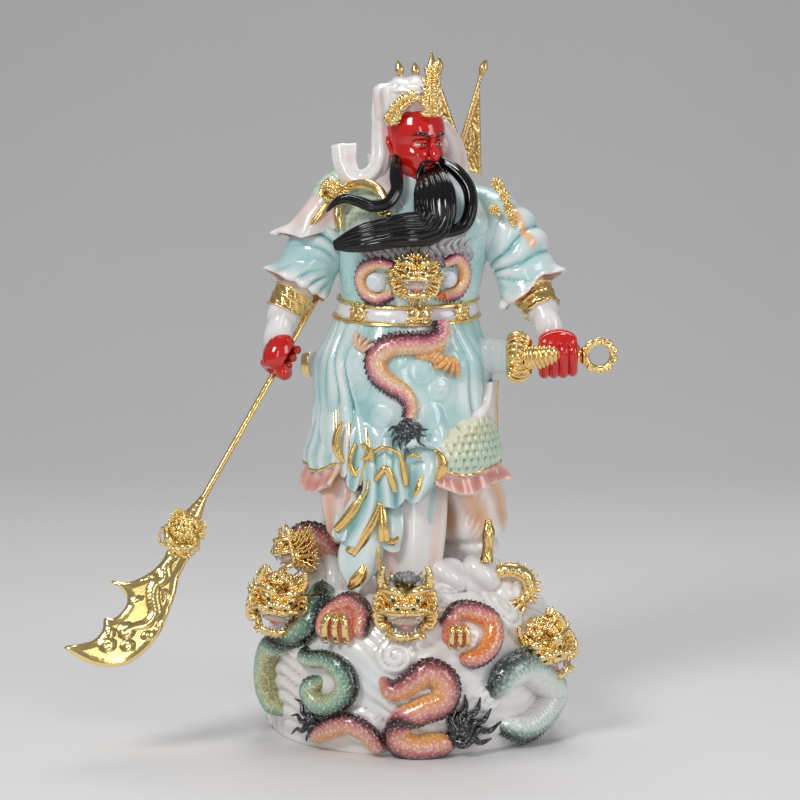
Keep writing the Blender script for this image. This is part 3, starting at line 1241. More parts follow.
GILT_EDGES = [  # line, half widths, flatness
    ([(-20.7, -60.5, 63.5), (-26, -61, 52), (-33, -60.5, 40), (-41, -58, 28)], [1.2, 3, 4.2, 5], 0.35),
    ([(-20.7, -60.5, 63.5), (-19.5, -61.5, 54), (-19, -62, 45), (-18.5, -61, 37)], [1.2, 2.6, 3.4, 3.6], 0.4),
    ([(-33, -57.5, 68), (-40, -58, 58), (-46, -57.5, 50), (-52, -56.5, 44)], [1.6, 3.2, 3.4, 2.6], 0.4),
    ([(-29, -58.5, 79), (-30.5, -59.5, 72), (-33, -59, 67)], [0.7, 1, 0.9], 0.6),
    ([(-17.5, -60, 40), (-13, -61, 36.5), (-8.5, -60, 40)], [1.6, 2.2, 0.9], 0.5),
    ([(-22.5, -59, 33), (-22, -60, 25), (-21.5, -60, 17)], [0.8, 1.1, 0.8], 0.6),
    ([(-32, -60, 21), (-34, -61, 15), (-38, -60.5, 9), (-43, -58, 4)], [1.6, 3.8, 4.2, 1.2], 0.4),
    ([(-25.5, -58, 98), (-20, -61, 101.5), (-15, -61.5, 101), (-9, -61, 98), (-6, -60, 91),
      (-4.6, -59.5, 83), (-3.5, -59, 75)], [1, 1.4, 1.2, 1.4, 1.9, 2.2, 1.4], 0.6),
    ([(-24.5, -60.5, 79), (-20.5, -63, 85), (-17.5, -63.5, 88), (-14.5, -63.5, 83), (-11, -62, 71)],
     [1.5, 2, 2.2, 2, 1.4], 0.5),
    ([(-3, -58, 95), (1.5, -60, 96.5), (7, -60, 94)], [0.8, 1.2, 0.8], 0.6),
    ([(16, -57, 100), (20.5, -57.5, 94), (21.5, -57.5, 87), (17.5, -57, 79)], [0.9, 2.6, 3.2, 0.9], 0.6),
    ([(7.5, -60.5, 82), (5.4, -61, 76), (4.4, -61, 71), (1.5, -60, 66)], [0.8, 1.9, 2.4, 0.9], 0.6),
    ([(-47.5, -49, 118), (-51, -49, 108), (-51, -49.5, 98), (-46, -50, 90)], [0.8, 2.4, 2.6, 0.9], 0.6),
    ([(-38, -54, 104), (-41, -55, 96), (-41.5, -55.5, 88), (-38, -55.5, 82), (-35, -55, 88)],
     [1.1, 1.3, 1.4, 1.6, 1.1], 0.6),
    ([(-34, -55, 104), (-29, -57, 99), (-26.5, -57.5, 92)], [1.2, 1.8, 1.2], 0.6),
    ([(-34, -55, 93), (-29.5, -57, 95), (-27, -57.5, 101)], [1, 1.5, 1], 0.6),
]
BOOTS = [((24, -40, 8), (16, 13, 15)), ((47, -36, 8), (15, 13, 16)), ((-34, -36, 4), (15, 14, 13))]
CLASPS = [(-41, 7.5), (5, 8.5), (37, 7.5)]  # x, size


def build_robe():
    cloth = Piece("robe")
    armour = Piece("trousers_and_armour")
    gilding = Piece("robe_gilding")
    cloth.add(skirt(), back_robe())
    armour.add(leg(LEFT_LEG, PEARL, APRICOT, 30), leg(RIGHT_LEG, PEARL, blend(BLUSH, PEARL, 0.4), 26))
    for centre, radii in BOOTS:
        boot = blob(at(*centre), radii, 44, 26)
        fold = np.sin(boot.points[..., 0] / 4 + boot.points[..., 2] / 3)
        armour.add(boot.push(0.9 * fold).paint(blend(PEARL, PEARL_SHADE, 0.3 * smooth(-fold, 0.2, 1))))

    for *place, colours, corner, scaled in ARMOUR:
        plate, edges = armour_plate(*place, colours, corner, scaled, 0.24 - 0.06 * corner)
        armour.add_sheet(plate, 3.0, APRICOT)
        for edge in edges:
            gilding.add(tube(edge, 1.2, 3.4))
    for row in HANGINGS:
        hang(cloth, gilding, *row)
    for line, widths, flat in GILT_EDGES:
        gilding.add(gold_route(line, widths, flat))

    # Tassel at the right
    tassel = gold_route([(53, -42, 49), (53.4, -43, 42), (53, -44, 33), (52, -45, 20)],
                        [1.5, 4, 3.2, 4.4], 0.9, 24)
    gilding.add(tassel.push(0.3 * ridges(around(24) * 6 / (2 * np.pi) + tassel.reach / 7)))

    # Belt: an inlaid band between two gilt rims, and three clasps
    cloth.add(belt_ring([[-5, 1.0], [0.2, 1.6], [1.2, 4], [1.2, 9], [0.2, 11.4], [-5, 12]])
              .paint(SASH))
    for rise in (0.6, 12.2):
        a = np.linspace(0, 2 * np.pi, 13)[:-1]
        rim = np.column_stack([0.8 + 1.7 * np.cos(a), rise + 1.5 * np.sin(a)])
        gilding.add(belt_ring(np.concatenate([rim, rim[:1]])))
    for x, size in CLASPS:
        turn = math.degrees(math.asin((x + 4) / 55))
        place = turned(over_skirt(turn, belt_height(turn, BELT_FOOT + 6.5), 2.0), turn, 0, 0, size)
        gilding.lay(place, clasp())

    cloth.make(pearly_glaze)
    armour.make(pearly_glaze)
    gilding.make(gilt, "gilt")


def clasp():
    """A beast's mask in relief, one unit to each side, facing -Y."""
    parts = [blob((0, 0.1, 0), (0.95, 0.35, 0.8), 18, 10), blob((0, -0.2, -0.18), (0.4, 0.25, 0.22), 12, 8)]
    for side in (-1, 1):
        parts.append(blob((side * 0.36, -0.2, 0.2), (0.18, 0.16, 0.16), 10, 6))
        parts.append(curved_spike((side * 0.2, -0.15, 0.4), (side * 0.95, 0.05, 0.85), 0.15))
        parts.append(taper(sided(side, (0.1, -0.3, -0.45), (0.5, -0.2, -0.5), (0.85, -0.05, -0.2)),
                           [0.12, 0.14, 0.05], 9, 12))
        for k in range(5):
            a = math.radians(-60 + 38 * k)
            parts.append(curved_spike((side * 0.8 * math.cos(a), 0.1, 0.7 * math.sin(a)),
                                      (side * 1.25 * math.cos(a), 0.15, 1.15 * math.sin(a)), 0.13))
    return parts


# The dragons on the apron and on the breast

PEACH = blend(GLOW, APRICOT, 0.5)
APRON_BODY = [[26, 186], [26, 178], [17, 172], [3, 171], [-10, 169], [-17, 161], [-15, 152], [-7, 144],
              [1, 138], [5, 130], [4, 121]]
APRON_ARMS = [  # turn and height along the arm, half widths, claw's size, yaw and roll, colour
    ([[-12, 156], [-19, 160], [-25, 165], [-29, 170]], [4.2, 4, 3.6], 5, -30, -155,
     blend(APRICOT, PEARL, 0.3)),
    ([[25, 180], [24, 172], [19, 165], [23, 160], [29, 157]], [4.6, 6.4, 6, 4.8, 4], 5.4, 28, 20, PEACH),
    ([[8, 166], [14, 164], [19, 163]], [4.6, 4.8, 4.4], 3.6, 20, 50, PEACH),
]
BREAST_COILS = [
    [[-14, 205], [-26, 201], [-37, 205], [-42, 214], [-36, 222], [-25, 226], [-14, 224]],
    [[24, 226], [33, 229], [42, 223], [45, 214], [39, 206], [28, 203]],
]
BREAST_BALLS = [(-28, 213, 7.5), (30, 215, 6.5)]  # turn, height, radius
BREAST_LOCKS = 16
BREAST_SPIKES = 110
BREAST_HEAD_SIZE = 13.5
TUFT_SIZE = 8.0
APRON_LIFT = 3.0
BREAST_LIFT = 1.6


def build_figure_dragons():
    dragons = Piece("robe_dragons")
    gilding = Piece("dragon_gilding")
    apron = route(over_skirt, APRON_BODY, 200, APRON_LIFT)
    dragons.add(*dragon_body(apron, [6.0, 7.2, 7.4, 7.0, 6.0, 4.0], APRON_HIDE, 1, 1.7, outward, 28, 3.3))
    for pairs, widths, size, yaw, roll, colour in APRON_ARMS:
        arm = route(over_skirt, pairs, 30, 0.5)
        limb = taper(arm, widths, 18, 40, 0.7, outward)
        dragons.add(limb.push(0.15 * ridges(limb.reach / 2.4)).paint(colour))
        foot, talons = dragon_foot(4, 90, 1.3)
        place = turned(route(over_skirt, pairs, 2, 1.5)[-1], yaw, 0, roll, size)
        dragons.lay(place, foot + talons, colour)
    place = turned(over_skirt(3, 119, 5.0), 3, 0, 180, TUFT_SIZE)
    dragons.lay(place, flame_burst(9, fan=130, seed=4), SLATE * 0.4)

    for pairs in BREAST_COILS:
        line = route(over_torso, pairs, 120, BREAST_LIFT)
        dragons.add(*dragon_body(line, [3.6, 4.4, 4.6, 4.0], APRON_HIDE, -1, 1.8, outward, 22, 2.4))
    for turn, z, radius in BREAST_BALLS:
        dragons.add(blob(over_torso(turn, z, 0), (radius, 4.5, radius), 36, 22).paint(PEARL_BALL))
    for k in range(BREAST_LOCKS):
        turn = -40 + 5.6 * k
        line = route(over_torso, [[turn * 0.8, 224], [turn + 4, 231], [turn - 2, 237 + (k % 3)],
                                  [turn + 5, 243 + 2 * (k % 3)]], 20, 1)
        lock = taper(line, [2.4, 2.6, 2.2, 0.3], 8, 24, 0.7, outward)
        dragons.add(lock.paint(blend(GREY_LOCK, PEARL, column(0, 0.8, 25))))
    foot, talons = dragon_foot(4, 60, 1.2)
    place = turned(over_torso(27, 203, 1.0), 27, 0, 20, 3.4)
    dragons.lay(place, foot + talons, AMBER)
    place = turned(over_torso(3, 216, 4), 3, 0, 0, BREAST_HEAD_SIZE)
    gold, paint = dragon_head(1.2, 0.6, mane=16, crown=False)
    chance = np.random.default_rng(9)
    for _ in range(BREAST_SPIKES):
        a, out = chance.uniform(0, 2 * np.pi), chance.uniform(0.5, 0.95)
        way = np.array([math.cos(a), 0, math.sin(a)])
        tip = way * (out + chance.uniform(0.4, 0.75)) + [0, chance.uniform(-0.5, -0.2), 0]
        gold.append(curved_spike(way * out + [0, -0.35, 0.05], tip, 0.075, (0, -0.3, 0), 5, 5, 0.2))
    gilding.lay(place, gold)
    dragons.lay(place, paint)
    dragons.make(enamel)
    gilding.make(gilt, "gilt")


# Body, shoulders, arms and hands

BREAST_CLOUDS = [  # turn, height, radius, hand
    [60, 236, 9, 1], [64, 214, 9, -1], [-64, 212, 9, 1], [20, 254, 7, -1], [0, 200, 8, 1], [62, 254, 8, 1],
]


def torso():
    turn = all_turns(220)
    z = column(TORSO_FOOT, TORSO_TOP, 76)
    cloth = Skin(over_torso(turn, z))
    side = signed(turn)
    swell, lines = scroll_relief(side, z, BREAST_CLOUDS, 50)
    behind = folds(side % 360, 100, 262, 12, 1.6) * smooth(-z, -270, -200)
    laced = smooth(-np.hypot((side + 44) / 30, (z - 259) / 17), -1.0, -0.8)
    scale = scale_pattern(z / -3.6, side * 0.87 / 3.8)
    colour = blend(MINT, MINT_PALE, smooth(mottle(cloth.points, 40, 12), -0.4, 0.9))
    colour = blend(colour, MINT_DEEP, 0.5 * smooth(-behind, 0.3, 1.4))
    colour = blend(colour, MINT_DEEP, 0.3 * smooth(-lines, 0.2, 1))
    cloth.paint(blend(colour, blend(SCALE_SHADE, SCALE_GREEN, smooth(scale, 0.1, 0.7)), laced))
    return cloth.push(swell + 0.3 * lines + behind + 0.8 * laced * scale)


RIGHT_ARM = line_at([(-34, 2, 268), (-52, 2, 252), (-66, 0, 232), (-79, -4, 206), (-89, -9, 189),
                     (-94, -13, 166)])
LEFT_ARM = line_at([(34, 2, 268), (56, 1, 254), (72, -2, 236), (83, -6, 206), (92, -16, 190), (98, -26, 169)])
RIGHT_SHOULDER = line_at([(-34, 3, 280), (-46, 2, 274), (-58, -1, 265), (-68, -3, 253), (-75, -5, 239)])
SLEEVE_END = 0.63
SLEEVE_ROWS = 76


def part_line(points, low, high, count):
    """The part of a line between two shares of its length."""
    line = along_line(points, 400)
    return line[np.linspace(low * (len(line) - 1), high * (len(line) - 1), count).astype(int)]


ARMPIT_HEIGHT = {-1: 217, 1: 208}
ARMPIT_REACH = 47
LEFT_CUFF_HANG = 10.0
LEFT_STRIPE = [(69, 0, 263), (82.5, 0, 238)]


def sleeve(arm, out, seed):
    """A wide sleeve whose folds fan out of the armpit, turned in at its mouth."""
    line = part_line(arm, 0.0, SLEEVE_END, 60)
    stops = np.concatenate([np.linspace(0, 1, SLEEVE_ROWS), [1.0], np.linspace(0.99, 0.86, 5)])
    inside = (np.arange(len(stops)) >= SLEEVE_ROWS)[:, None] * 1.0
    phi = around(110)
    shown = stops[:, None]
    outer = np.clip(-np.sin(phi) * out, 0, 1)
    bulge = read_table([[0, 15], [0.3, 21.5], [0.55, 23.5], [0.8, 22.5], [1, 25]], shown)[..., 0]
    tip = 4.5 * smooth(shown, 0.84, 1) * outer**8 + 1.2 * smooth(shown, 0.9, 1) * np.sin(7 * phi + seed)

    def section(t):
        r = bulge + tip - 2.0 - 2.2 * inside
        return r * 0.94 * np.cos(phi), r * np.sin(phi)
    skin = sweep(line, section, len(stops) - 1, FRONT, stops)
    if out > 0:  # the left cuff hangs lower towards the body
        hang = smooth(shown, 0.6, 1) * smooth(np.sin(phi) + 0.5 * np.cos(phi), -0.1, 0.9)
        skin.points = skin.points + LEFT_CUFF_HANG * hang[..., None] * unit(arm[-1] - arm[-3])
    across = (skin.points[..., 0] * out) - ARMPIT_REACH
    up = skin.points[..., 2] - PLINTH_HEIGHT - ARMPIT_HEIGHT[out]
    away = np.hypot(across, up)
    fan = ridges(np.arctan2(up, across) * 2.6 + 0.028 * away + 0.25 * np.sin(away / 9 + seed) + 0.1 * seed)
    deep = smooth(away, 6, 24) * (0.55 + 0.45 * np.sin(np.arctan2(up, across) * 4 + seed)) * (1 - inside)
    colour = blend(MINT, MINT_PALE, smooth(mottle(skin.points, 26, seed), -0.3, 0.9))
    colour = blend(colour, MINT_DEEP, 0.55 * smooth(-fan, -0.2, 1.0) * deep)
    colour = blend(colour, PEARL, 0.45 * smooth(fan, 0.4, 1.0) * deep)
    if out > 0:  # with a peach stripe down its front
        a, b = line_at(LEFT_STRIPE)
        from_top = (skin.points - a) * [1, 0, 1]
        share = np.clip(from_top @ (b - a) / ((b - a) @ (b - a)), 0, 1)
        gap = np.linalg.norm(from_top - share[..., None] * (b - a), axis=-1)
        colour = blend(colour, APRICOT, 0.9 * (1 - smooth(gap, 1.8, 4.0)) * (skin.points[..., 1] < 0))
    colour = blend(colour, PEARL, 0.85 * smooth(shown, 0.93, 0.97) * (1 - inside) + 0 * phi)
    skin.colour = blend(colour, BLUSH, inside + 0 * phi)
    return skin.push((2.1 * fan + 0.4) * deep)


def shoulder_cape(line, out, seed):
    """A short cape over the shoulder, scaled above, with a pale hem that curls out at its tip."""
    stops = np.concatenate([np.linspace(0, 1, 60), [1.0, 0.99], np.linspace(0.97, 0.8, 5)])
    inside = np.concatenate([np.zeros(60), [0.5, 1.0], np.ones(5)])[:, None]
    phi = around(110)
    shown = stops[:, None]
    outer = np.clip(-np.sin(phi) * out, 0, 1)
    short = 1 - 0.5 * np.clip(np.sin(phi) * out + 0.1, 0, 1)
    bulge = read_table([[0, 10], [0.3, 16.5], [0.6, 20.5], [0.85, 22], [1, 21.5]], shown * short)[..., 0]
    bulge = bulge * (1 - 0.5 * outer**2 * smooth(shown, 0.2, 0.7))
    curl = smooth(shown, 0.76, 1.0) ** 1.6 * outer**3
    a, b = shown * 11, phi * 34 / (2 * np.pi)
    scale = scale_pattern(-a, b)
    body = smooth(shown, 0.06, 0.1) * (1 - smooth(shown, 0.5, 0.56)) * (1 - inside)
    wave = 1.4 * np.sin(phi * 8 + seed) * smooth(shown, 0.7, 1.0)

    def section(t):
        r = bulge + wave + 0.9 * scale * body - 2.4 * inside
        return r * 0.9 * np.cos(phi), r * np.sin(phi)
    skin = sweep(line, section, len(stops) - 1, FRONT, stops)
    skin.points = skin.points + (shown * (1 - short))[..., None] * (line[0] - line[-1])
    skin.points = skin.points + curl[..., None] * np.array([out * 13.0, 0, 0.5])
    colour = blend(SCALE_SHADE, SCALE_GREEN, smooth(scale, 0.1, 0.7))
    hem = blend(blend(PEARL, BLUSH, 0.6), PEARL, smooth(shown, 0.8, 0.97) + 0 * phi)
    hem = blend(hem, CORAL, 0.75 * bump(phi, math.pi * (1.5 if out < 0 else 0.5) + 0.35, 0.28)
                * smooth(shown, 0.5, 0.7) * (1 - smooth(shown, 0.86, 0.97)))
    skin.colour = blend(blend(hem, colour, body), blend(CORAL, BLUSH, 0.3), inside + 0 * phi)
    return skin


def hoop(ring, width):
    """A gilt cord round a ring of points."""
    along = unit(np.roll(ring, -1, 0) - np.roll(ring, 1, 0))
    out = unit(ring - ring.mean(0))
    out = unit(out - (out * along).sum(1, keepdims=True) * along)
    wide = np.cross(along, out)
    phi = around(8)
    rise, aside = width * np.cos(phi)[..., None], width * np.sin(phi)[..., None]
    points = ring[:, None] + out[:, None] * rise + wide[:, None] * aside
    return Skin(np.concatenate([points, points[:1]]))


BRACER_FROM, BRACER_TO = 0.67, 0.79
BRACER_RADIUS = 14.2


def bracer(arm):
    """A gilt guard with banded relief, rimmed at both ends."""
    line = part_line(arm, BRACER_FROM, BRACER_TO, 30)
    phi = around(48)

    def section(t):
        rim = bump(t, 0.0, 0.07) + bump(t, 1.0, 0.07) + 0.6 * bump(t, 0.5, 0.05)
        r = BRACER_RADIUS * (1.0 - 0.14 * t) + 1.3 * rim + 0.5 * ridges(phi * 12 / (2 * np.pi) + 2.4 * t)
        return r * np.cos(phi), r * np.sin(phi)
    return sweep(line, section, 36)


RIGHT_FIST = at(-89, -14, 159)
LEFT_FIST = at(98, -31, 161)
SHAFT_LINE = np.array([-0.457, -0.395, -0.797])
HILT_LINE = np.array([1.0, 0.0, 0.02])
FINGER_PITCH = 6.0
FINGER_BENDS = [(-35, 1.1), (0, 1.32), (35, 1.42), (80, 1.18), (120, 1.28), (160, 1.05), (205, 0.98)]
FINGER_SWELL = np.array([1, 1.08, 1.1, 1, 1.02, 0.9, 0.7])


def fist(centre, axis, back, grip, large):
    """A hand closed round an axis. Back points from the grip to the back of the hand."""
    axis = unit(np.asarray(axis, float))
    back = unit(back - np.dot(back, axis) * axis)
    turn_way = np.cross(axis, back)
    parts = []

    def spot(along, angle, out):
        a = math.radians(angle)
        return centre + axis * along + (back * math.cos(a) + turn_way * math.sin(a)) * out
    for k in range(4):
        along = (k - 1.5) * FINGER_PITCH * large
        thick = (3.7 if k < 3 else 3.2) * large
        reach = grip + thick * 0.75
        points = [spot(along, angle, reach * swell) for angle, swell in FINGER_BENDS]
        parts.append(taper(points, thick * FINGER_SWELL, 14, 44, 1.0, axis))
        parts.append(blob(spot(along, 33, reach * 1.42), (thick, thick, thick), 14, 10))
    palm = [spot(0, -75, grip + 3), spot(0, -20, grip + 5.5), spot(0, 20, grip + 4.5)]
    parts.append(taper(palm, [11 * large, 12.5 * large, 11 * large], 26, 30, 0.6, np.cross(axis, back)))
    thumb = [spot(9, -60, grip + 2), spot(12, -110, grip + 4.5), spot(8, -160, grip + 4),
             spot(3, -200, grip + 3.4)]
    parts.append(taper(thumb, [4.6, 4.6, 4.2, 3.0], 14, 34, 1.0, axis))
    return parts


SHOULDER_MASKS = [  # place, yaw, roll, size
    (-61, -16, 268, -45, 60, 4.6), (59.5, -19, 278, 40, -30, 3.8), (64.3, -21, 270, 42, -60, 3.6),
    (67, -22, 262, 42, -80, 3.3), (69.5, -22, 254, 42, -60, 2.8), (57, -25, 261, 30, 20, 3),
]
SHOULDER_STRAPS = [  # line, half widths
    ([(-45, -20, 277), (-36, -23, 279), (-27, -28, 278), (-21, -33, 274), (-17, -37, 267)],
     [2.4, 3.4, 3.6, 3, 1.8]),
    ([(-50.2, -24, 263), (-50, -26, 256), (-49, -27, 248)], [2.2, 2.8, 2.2]),
    ([(-58, -21, 266), (-64, -22, 257), (-71, -22, 249), (-79, -20, 243)], [1.6, 2.2, 2, 0.9]),
    ([(-62, -15, 271), (-67.5, -14, 266), (-73.3, -13, 259.6), (-79, -13, 253), (-87, -12, 247)],
     [1.4, 1.8, 1.5, 1.6, 0.7]),
]
BREAST_BOSSES = [(-20, -37, 261, 3.6), (-25, -36, 262, 2.6), (-16, -38, 259, 2.6)]  # place, radius


def build_shoulder_gold(gilding):
    """Beast clasps at the shoulders, the collar rim, and a strap and boss on the breast."""
    gold, _ = dragon_head(0.9, 0.5, mane=5, crown=False)
    beast = turned(at(-53, -24, 274), -24, -10, 24, 7.6)
    gilding.lay(beast, gold)
    for *place, yaw, roll, size in SHOULDER_MASKS:
        here = turned(at(*place), yaw, -25, roll, size)
        gilding.lay(here, clasp())
        for k in range(9):
            a = math.radians(-150 + 36 * k)
            curl = [(0.7 * math.sin(a), 0, 0.7 * math.cos(a)), (1.2 * math.sin(a), -0.2, 1.2 * math.cos(a)),
                    (1.45 * math.sin(a + 0.5), -0.1, 1.45 * math.cos(a + 0.5)),
                    (1.15 * math.sin(a + 0.7), -0.2, 1.15 * math.cos(a + 0.7))]
            gilding.add(taper(curl, [0.18, 0.2, 0.15, 0.04], 7, 11).placed(here))
    for line, widths in SHOULDER_STRAPS:
        gilding.add(gold_route(line, widths, 0.7, 16))
    for x, y, z, size in BREAST_BOSSES:
        gilding.add(blob(at(x, y, z), (size, size * 0.7, size), 16, 10))


HANDS = [  # centre, the axis held, way to the back of the hand, its radius, the hand's size
    (RIGHT_FIST, SHAFT_LINE, np.array([-0.8, -0.55, 0.25]), 3.4, 1.1),
    (LEFT_FIST + [3, 0, 0], HILT_LINE, np.array([0, -0.6, 0.8]), 6.2, 1.08),
]


def build_body():
    cloth = Piece("sleeves")
    gilding = Piece("body_gilding")
    hands = Piece("hands")
    cloth.add(torso(), sleeve(RIGHT_ARM, -1, 3), sleeve(LEFT_ARM, 1, 5), shoulder_cape(RIGHT_SHOULDER, -1, 1))
    cloth.add(ruffle([[-20, -12, 290], [-21, -19, 278], [-16, -28, 268], [-9, -35, 259]], [11, 13, 15, 15],
                     4, 1.0, 1.2, PEARL, blend(PEARL, BLUSH, 0.6)))
    build_shoulder_gold(gilding)
    for arm in (RIGHT_ARM, LEFT_ARM):
        forearm = taper(part_line(arm, 0.5, 1.0, 30), [13, 12, 10.4, 9.0], 36, 48)
        wrap = np.sin(forearm.reach / 2.6 + 1.6 * np.cos(around(36)) + 0.8 * np.cos(2 * around(36)))
        forearm.paint(blend(PEARL, PEARL_SHADE, 0.3 * smooth(-wrap, 0.2, 1)))
        cloth.add(forearm.push(0.45 * wrap))
        gilding.add(bracer(arm))
    for row in HANDS:
        hands.add(*(skin.paint(VERMILION) for skin in fist(*row)))

    # Scabbard through the sash
    case = taper([LEFT_FIST + p for p in ((-24, 2, 0), (-40, 12, -0.5), (-60, 28, -1))],
                 [12, 12.5, 12.5], 40, 40, 0.6)
    cloth.add(case.push(0.2 * ridges(case.reach / 9)).paint(blend(SCABBARD, MINT_PALE, 0.3)))
    tip = taper(line_at([(-50, 28, 151), (-62, 35, 149), (-76, 42, 148)]), [12, 11.5, 8], 30, 24, 0.55)
    cloth.add(tip.paint(SCABBARD))
    gilding.add(taper(line_at([(-71, 39.5, 148.4), (-76.5, 42.3, 148)]), [9.6, 8.4], 30, 8, 0.6))

    cloth.make(pearly_glaze)
    gilding.make(gilt, "gilt")
    hands.make(red_lacquer)


# Head, headcloth, crown and beard

HEAD_PLACE = at(3, -5, 278)
HEAD_TURN = 32
FACE_HEIGHT = 57
HEAD_SHAPE = [  # share of the height, half width, reach to the front and to the back
    [0, 7, 11, 4], [0.07, 10.5, 18, 7], [0.2, 15, 21, 14], [0.34, 18, 21, 18], [0.5, 19, 20, 20],
    [0.58, 19.5, 22, 21], [0.76, 19.5, 21, 21], [0.9, 15, 16, 16], [1, 5, 6, 6],
]
EYE_SHARE = 0.5
NOSE_FOOT = 0.31
MOUTH_SHARE = 0.2


def build_head():
    head = Piece("head")
    place = turned(HEAD_PLACE, HEAD_TURN)
    turn = all_turns(150)
    share = column(0, 1, 104)
    wide, front, rear = np.moveaxis(read_table(HEAD_SHAPE, share), -1, 0)
    a = np.radians(turn)
    deep = np.where(np.cos(a) > 0, front, rear)
    points = np.stack(np.broadcast_arrays(wide * np.sin(a), -deep * np.cos(a), FACE_HEIGHT * share), -1)
    x, z = points[..., 0], share + 0 * a
    facing = smooth(np.cos(a), 0.0, 0.5)
    dip = 1.9 * (bump(np.abs(x), 6.6, 4.4) * bump(z, EYE_SHARE, 0.055))
    cheek = 1.3 * bump(np.abs(x), 10.5, 4.5) * bump(z, 0.37, 0.08)
    brow = 1.2 * bump(np.abs(x), 7, 6) * bump(z, 0.585, 0.045)
    lips = 1.4 * bump(x, 0, 5.4) * (bump(z, MOUTH_SHARE + 0.022, 0.02) + bump(z, MOUTH_SHARE - 0.026, 0.022))
    chin = 1.6 * bump(x, 0, 5) * bump(z, 0.07, 0.05)
    height = facing * (cheek + brow + lips + chin - dip - 0.9 * bump(x, 0, 7) * bump(z, 0.255, 0.03))
    face = Skin(points).push(height).paint(VERMILION)
    lip_tint = facing * bump(x, 0, 5.4) * bump(z, MOUTH_SHARE, 0.045)
    face.colour = blend(face.colour, VERMILION_DEEP, 0.55 * lip_tint)
    parts = [face]

    def on_face(px, level, lift):
        w, f, _ = read_table(HEAD_SHAPE, level)
        return np.array([px, -f * math.sqrt(max(0.0, 1 - (px / w) ** 2)) - lift, FACE_HEIGHT * level])
    nose = taper([on_face(0, 0.57, 0.2), on_face(0, 0.48, 1.8), on_face(0, 0.4, 3.8), on_face(0, 0.335, 4.9),
                  on_face(0, NOSE_FOOT, 2.4)], [2.0, 2.2, 2.9, 3.1, 2.0], 20, 36)
    parts.append(nose.paint(VERMILION))
    for side in (-1, 1):
        parts.append(blob(on_face(side * 2.9, 0.325, 2.0), (2.0, 2.2, 1.8), 14, 10).paint(VERMILION))
        eye = on_face(side * 7.2, EYE_SHARE, -2.6)
        parts.append(blob(eye, (3.9, 3.4, 2.7), 24, 16).paint(EYE_WHITE))
        parts.append(blob(eye - [0, 2.35, -0.1], (1.5, 1.25, 1.5), 16, 10).paint(BLACK))
        for level, lift, width in ((0.528, 1.2, 0.95), (0.475, 0.7, 0.7)):
            lid = [on_face(side * 2.6, EYE_SHARE, 0.1), on_face(side * 5, level, lift),
                   on_face(side * 8.2, level, lift), on_face(side * 10.8, EYE_SHARE + 0.008, 0.3)]
            parts.append(taper(lid, [0.4, width, width, 0.4], 9, 22).paint(VERMILION))
        eyebrow = [on_face(side * 2.4, 0.575, 1.1), on_face(side * 6, 0.61, 1.5),
                   on_face(side * 10, 0.625, 1.1), on_face(side * 13.5, 0.6, 0.5)]
        parts.append(taper(eyebrow, [0.7, 1.3, 1.1, 0.3], 9, 24, 0.7).paint(BLACK))
        ear = sided(side, (17.3, 1, 20), (19.2, 2, 25), (19.6, 4, 30), (18.6, 6, 33),
                    (18, 7, 27), (17.6, 4, 20))
        parts.append(taper(ear, [1.6, 1.5, 1.7, 1.6, 1.3, 1.6], 10, 34, 1.0, np.array([side, 0, 0])
                           ).paint(VERMILION))
        parts.append(blob((side * 17.8, 3.5, 26), (1.6, 3.6, 5.6), 14, 12).paint(VERMILION))
    neck = taper(line_at([(2, 1, 262), (3, 0, 272), (3, -2, 284)]), [15, 14, 13], 40, 24)
    head.add(neck.paint(VERMILION))
    head.lay(place, parts)
    head.make(red_lacquer)


def hair_strand(points, widths, flat, sides, grooves):
    """A lock of the beard with combed grooves along it."""
    lock = taper(line_at(points), widths, sides, 64, flat)
    t = column(0, 1, 65)
    groove = ridges(around(sides) * grooves / (2 * np.pi) + 0.35 * np.sin(4 * t))
    return lock.push(0.09 * spread(widths, t) * groove).paint(BLACK)


STRANDS = [  # line, half widths, flatness, sides, grooves
    ([(12.5, -18, 288), (14.5, -30, 281), (16, -41, 268), (15, -46, 257), (10, -49, 251),
      (-2, -51, 249.5), (-16, -51, 247), (-32, -50, 243.5), (-45, -47, 240), (-50, -46, 238.8),
      (-52.5, -45.6, 238.2)],
     [6, 10, 13, 13.5, 13, 11, 10.5, 9.8, 9.2, 7, 3], 0.66, 84, 19),
    ([(20, -36, 276), (22, -44, 262), (20, -49, 252), (8, -54, 246), (-10, -56, 244),
      (-30, -54, 240), (-45, -50, 237)], [3, 6, 7.5, 6.5, 5, 3.6, 1.2], 0.6, 50, 11),
    ([(20, -19, 296), (30, -24, 289), (39, -30, 277), (40.5, -36, 264), (36, -42, 252),
      (22, -47, 246)], [3, 4.2, 4.4, 4.4, 4.2, 3.2], 0.9, 34, 7),
    ([(-10, -16, 298), (-10.3, -22, 293), (-10.5, -29, 285), (-10.4, -36, 275), (-16.3, -41, 267),
      (-26.5, -44, 265), (-37, -44, 268.5), (-45.2, -43, 270), (-52, -42, 267), (-57.5, -41, 261)],
     [2.4, 3.8, 4.4, 4.2, 4.2, 4.2, 3.8, 3.2, 2.4, 0.7], 0.9, 34, 7),
    ([(13.6, -25.6, 294.5), (9.4, -26.6, 293.4), (5.6, -26, 288), (5, -29, 279), (6, -32, 272)],
     [0.8, 1.7, 1.6, 1.5, 0.4], 0.8, 18, 4),
    ([(14.6, -25.2, 294.5), (18.2, -22.4, 293), (21, -20.5, 289), (25, -22, 287)],
     [0.8, 1.7, 2, 2.4], 0.8, 18, 4),
]


def build_beard():
    beard = Piece("beard")
    for row in STRANDS:
        beard.add(hair_strand(*row))
    beard.make(black_lacquer)


